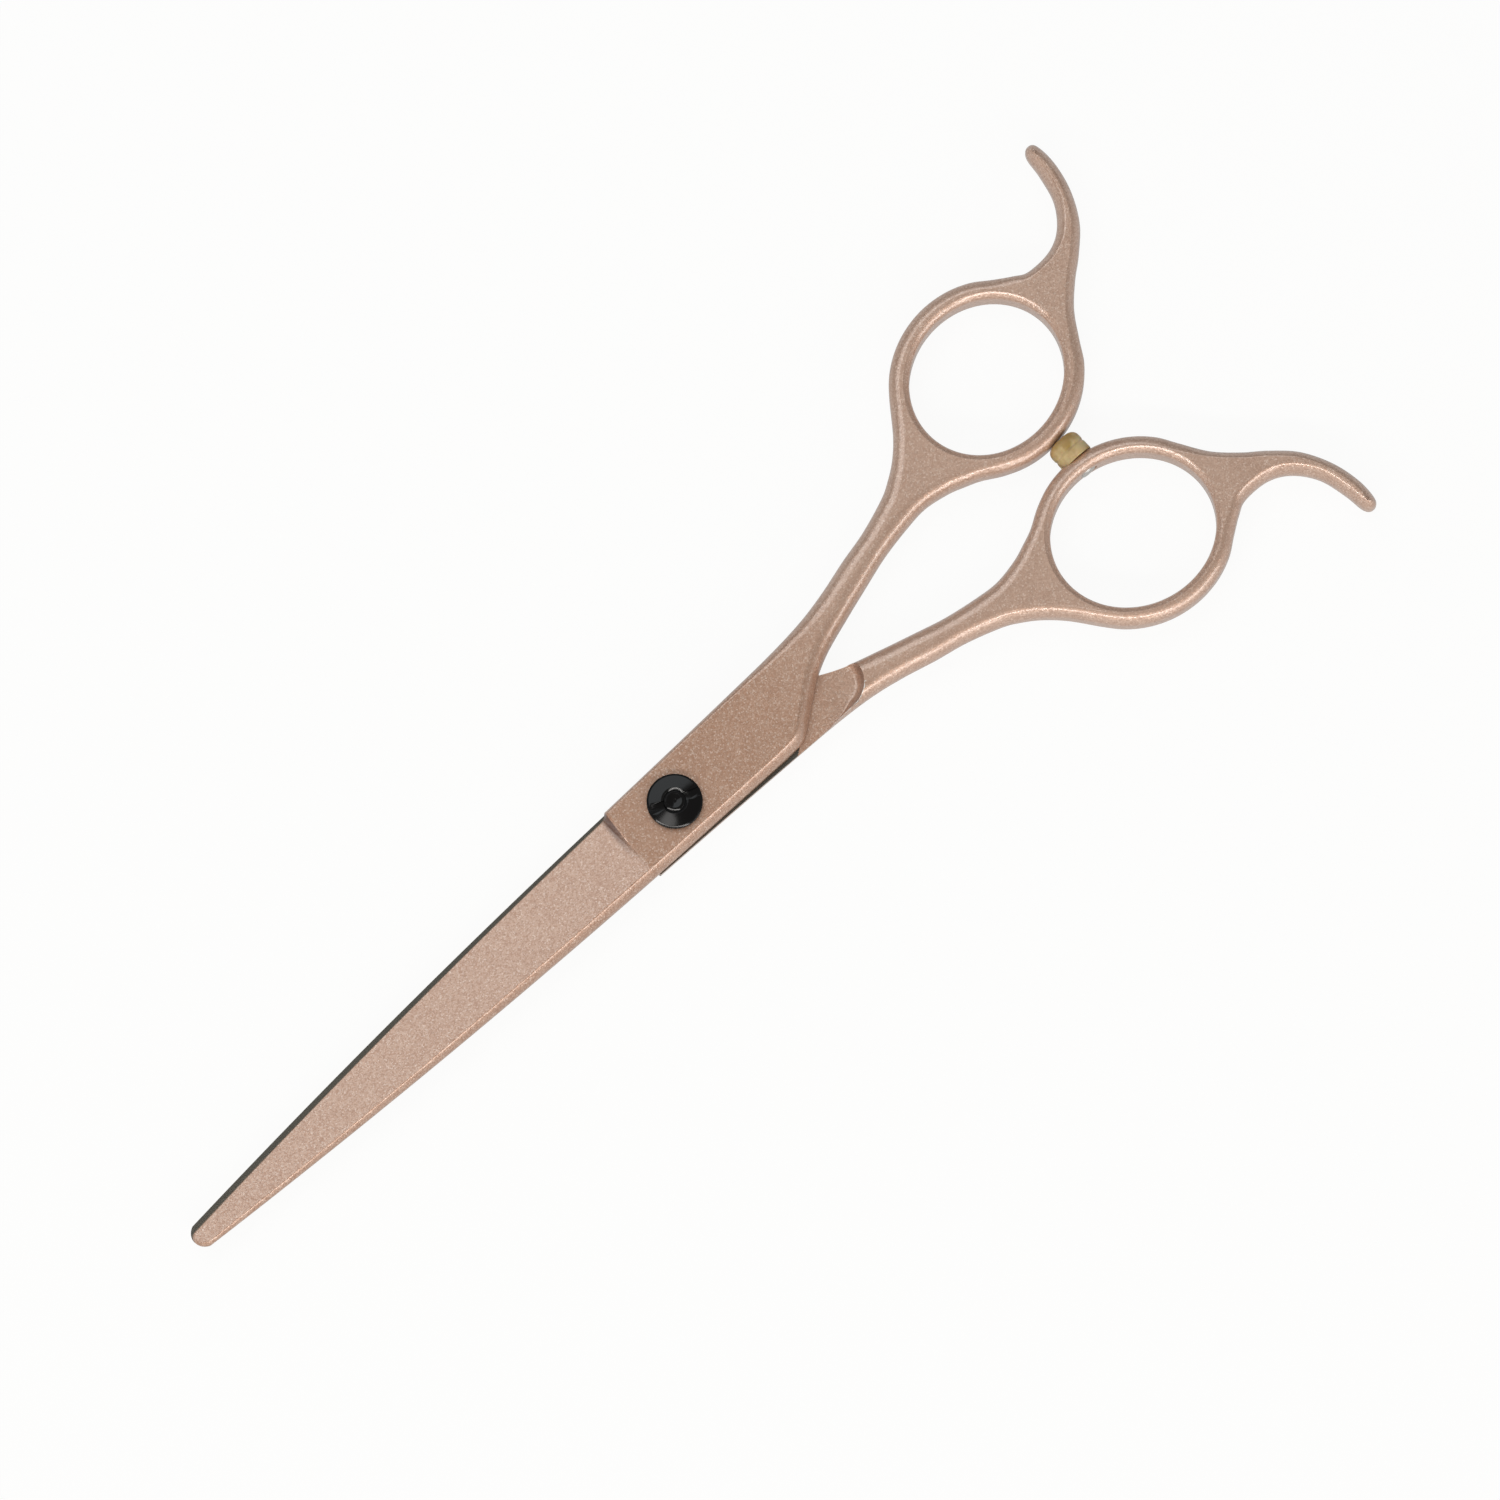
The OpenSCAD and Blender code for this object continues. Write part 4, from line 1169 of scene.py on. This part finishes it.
class SHEARS_OT_bumper(bpy.types.Operator):
    """Build the amber rubber bumper with the groove round it"""
    bl_idname = "shears.bumper"
    bl_label = "Bumper"

    def execute(self, context):
        s = shears_sizes()
        r, h, hole = s.bumper_d / 2, s.bumper_h, s.pin_d / 2 + s.seat_gap
        waist, gape = 0.45 * h, 2.4 * s.groove_d
        bumper = turned("shears_bumper", [
            (0, 0.55 * h, 0), (hole, 0.55 * h, 0.1), (hole, 0, 0.05), (r, 0, 0.12),
            (r, waist - gape, 0.12), (r - s.groove_d, waist, 0.1), (r, waist + gape, 0.12),
            (r, h, s.bumper_round), (0, h, 0)], amber_rubber())
        fit(bumper, "bumper", on_bumper_axis(s, -s.bumper_base))
        return {"FINISHED"}


class SHEARS_OT_bumper_stud(bpy.types.Operator):
    """Build the bright pin that holds the bumper"""
    bl_idname = "shears.bumper_stud"
    bl_label = "Bumper pin"

    def execute(self, context):
        s = shears_sizes()
        r = s.pin_d / 2
        reach = s.pin_out + s.hole_low - s.bumper_base + 0.5 * s.bumper_h
        bright = plain_metal("bright_steel", context.scene.shears_finishes.bright, 0.3, 0.07)
        pin = turned("shears_bumper_stud", [
            (0, 0, 0), (r - 0.25, 0, 0.2), (r, 0.25, 0.2), (r, reach, 0.06), (0, reach, 0)], bright)
        fit(pin, "bumper_stud", on_bumper_axis(s, -s.hole_low - s.pin_out))
        return {"FINISHED"}


def heading(azimuth, elevation):
    """The direction from the shears towards an azimuth and an elevation, in radians."""
    flat = math.cos(elevation)
    return Vector((math.sin(azimuth) * flat, -math.cos(azimuth) * flat, math.sin(elevation)))


def aim(made, target, back, distance):
    """Puts a lamp or camera at a distance from a target and turns it to face that."""
    made.location = target + back * distance
    made.rotation_euler = (-back).to_track_quat("-Z", "Y").to_euler()


def softbox(name, azimuth, elevation, distance, width, height, level, tint):
    """A softbox that faces the shears. Level is how bright its face looks, and 1 is white."""
    lamp = bpy.data.lights.new(name, "AREA")
    lamp.shape = "RECTANGLE"
    lamp.size = width
    lamp.size_y = height
    lamp.energy = 4 * level * width * height
    lamp.color = tint
    back = heading(math.radians(azimuth), math.radians(elevation))
    aim(added(name, lamp), Vector(), back, distance)


class SHEARS_OT_stage(bpy.types.Operator):
    """Build the pale floor, the soft light and the camera"""
    bl_idname = "shears.stage"
    bl_label = "Stage"

    def floor(self):
        """A pale sheet that the camera sees nearly white, with the shears' shadow on it."""
        mesh = bpy.data.meshes.new("floor")
        w = FLOOR_REACH
        mesh.from_pydata([(-w, -w, 0), (w, -w, 0), (w, w, 0), (-w, w, 0)], [], [(0, 1, 2, 3)])
        floor = added("floor", mesh)
        floor.location.z = CAD_BOX[0][2] - 0.02 * MM
        material = bpy.data.materials.new("pale_floor")
        material.use_nodes = True
        n = Nodes(material.node_tree)
        rays = [Value(n, s) for s in n.node("ShaderNodeLightPath").socket.node.outputs]
        seen = {s.socket.name: s for s in rays}
        paper = n.noise(n.place(), 30, 2.0)
        paper = n.mix(paper, (0.93, 0.93, 0.925, 1), (0.95, 0.95, 0.945, 1))
        # The sheet gives little light back to the shears, whose sides stay dark
        sheet = n.mix(seen["Is Camera Ray"], (0.5, 0.5, 0.5, 1), paper)
        matt = n.node("ShaderNodeBsdfDiffuse", None, {"Color": sheet})
        white = n.node("ShaderNodeEmission", None, {"Color": (1, 1, 0.995, 1), "Strength": 1.0})
        # Polished faces see the sheet dimmer than the camera does
        shown = (seen["Is Camera Ray"] + seen["Is Transmission Ray"]) * 0.93
        shown = shown + seen["Is Glossy Ray"] * 0.38
        blend = n.node("ShaderNodeMixShader", None, (shown, matt, white))
        n.node("ShaderNodeOutputMaterial", None, {"Surface": blend})
        mesh.materials.append(material)

    def room(self, look):
        """A dim room with a warm ceiling, brighter in front of the shears than behind them."""
        world = bpy.data.worlds.new("studio")
        bpy.context.scene.world = world
        world.use_nodes = True
        n = Nodes(world.node_tree)
        across, along, up = n.parts(n.node("ShaderNodeTexCoord", None, (), 0))
        behind = across * 0.6 + along * 0.8
        level = up.step(0.02, 0.6, behind.step(-0.6, 0.5, look.front, look.back), look.ceiling)
        tint = n.mix(up.step(0.1, 0.8), (1, 1, 1, 1), (1.0, 0.95, 0.9, 1))
        sky = n.node("ShaderNodeBackground", None, {"Color": tint, "Strength": level})
        n.node("ShaderNodeOutputWorld", None, {"Surface": sky})

    def camera(self, look):
        """A far camera with a long lens, aimed at the middle of the view."""
        camera = bpy.data.cameras.new("camera")
        camera.sensor_width = 36
        camera.lens = camera.sensor_width * look.distance / look.view_w
        camera.clip_start = 0.1
        camera.clip_end = 40
        placed = added("camera", camera)
        aim(placed, Vector(VIEW_MIDDLE) * MM, heading(look.azimuth, look.elevation), look.distance)
        bpy.context.scene.camera = placed

    def execute(self, context):
        look = context.scene.shears_studio
        self.floor()
        self.room(look)
        softbox("key", -50, 40, 0.8, 1.25, 0.06, look.key_level, (1.0, 0.97, 0.94))
        softbox("low", 9, 20, 0.9, 0.75, 0.2, look.low_level, (1.0, 0.98, 0.96))
        softbox("fill", 172, 52, 0.9, 1.3, 0.68, look.fill_level, (0.9, 0.96, 1.0))
        softbox("top", -85, 81, 1.0, 0.22, 0.2, look.top_level, (1.0, 0.98, 0.96))
        self.camera(look)
        context.scene.view_settings.view_transform = "Standard"
        return {"FINISHED"}


PIECES = (SHEARS_OT_halves, SHEARS_OT_pivot_stud, SHEARS_OT_pivot_rings, SHEARS_OT_tension_nut,
          SHEARS_OT_bumper, SHEARS_OT_bumper_stud, SHEARS_OT_stage)
GROUPS = {"shears_blade": BladeSizes, "shears_handle": HandleSizes, "shears_ride": RideSizes,
          "shears_pivot": PivotSizes, "shears_bumper": BumperSizes,
          "shears_finishes": Finishes, "shears_studio": Studio}


class SHEARS_PT_panel(bpy.types.Panel):
    """Lists the pieces and the values that they are built from"""
    bl_idname = "SHEARS_PT_panel"
    bl_label = "Hair Cutting Shears"
    bl_space_type = "VIEW_3D"
    bl_region_type = "UI"
    bl_category = "Shears"

    def draw(self, context):
        for piece in PIECES:
            self.layout.operator(piece.bl_idname)
        for name, group in GROUPS.items():
            box = self.layout.box()
            for value in group.__annotations__:
                box.prop(getattr(context.scene, name), value)


def register():
    for made in (*GROUPS.values(), *PIECES, SHEARS_PT_panel):
        bpy.utils.register_class(made)
    for name, group in GROUPS.items():
        setattr(bpy.types.Scene, name, PointerProperty(type=group))


def unregister():
    for name in GROUPS:
        delattr(bpy.types.Scene, name)
    for made in (SHEARS_PT_panel, *reversed(PIECES), *reversed(GROUPS.values())):
        bpy.utils.unregister_class(made)


def main():
    register()
    for piece in PIECES:
        family, name = piece.bl_idname.split(".")
        getattr(getattr(bpy.ops, family), name)()


if __name__ == "__main__":
    main()
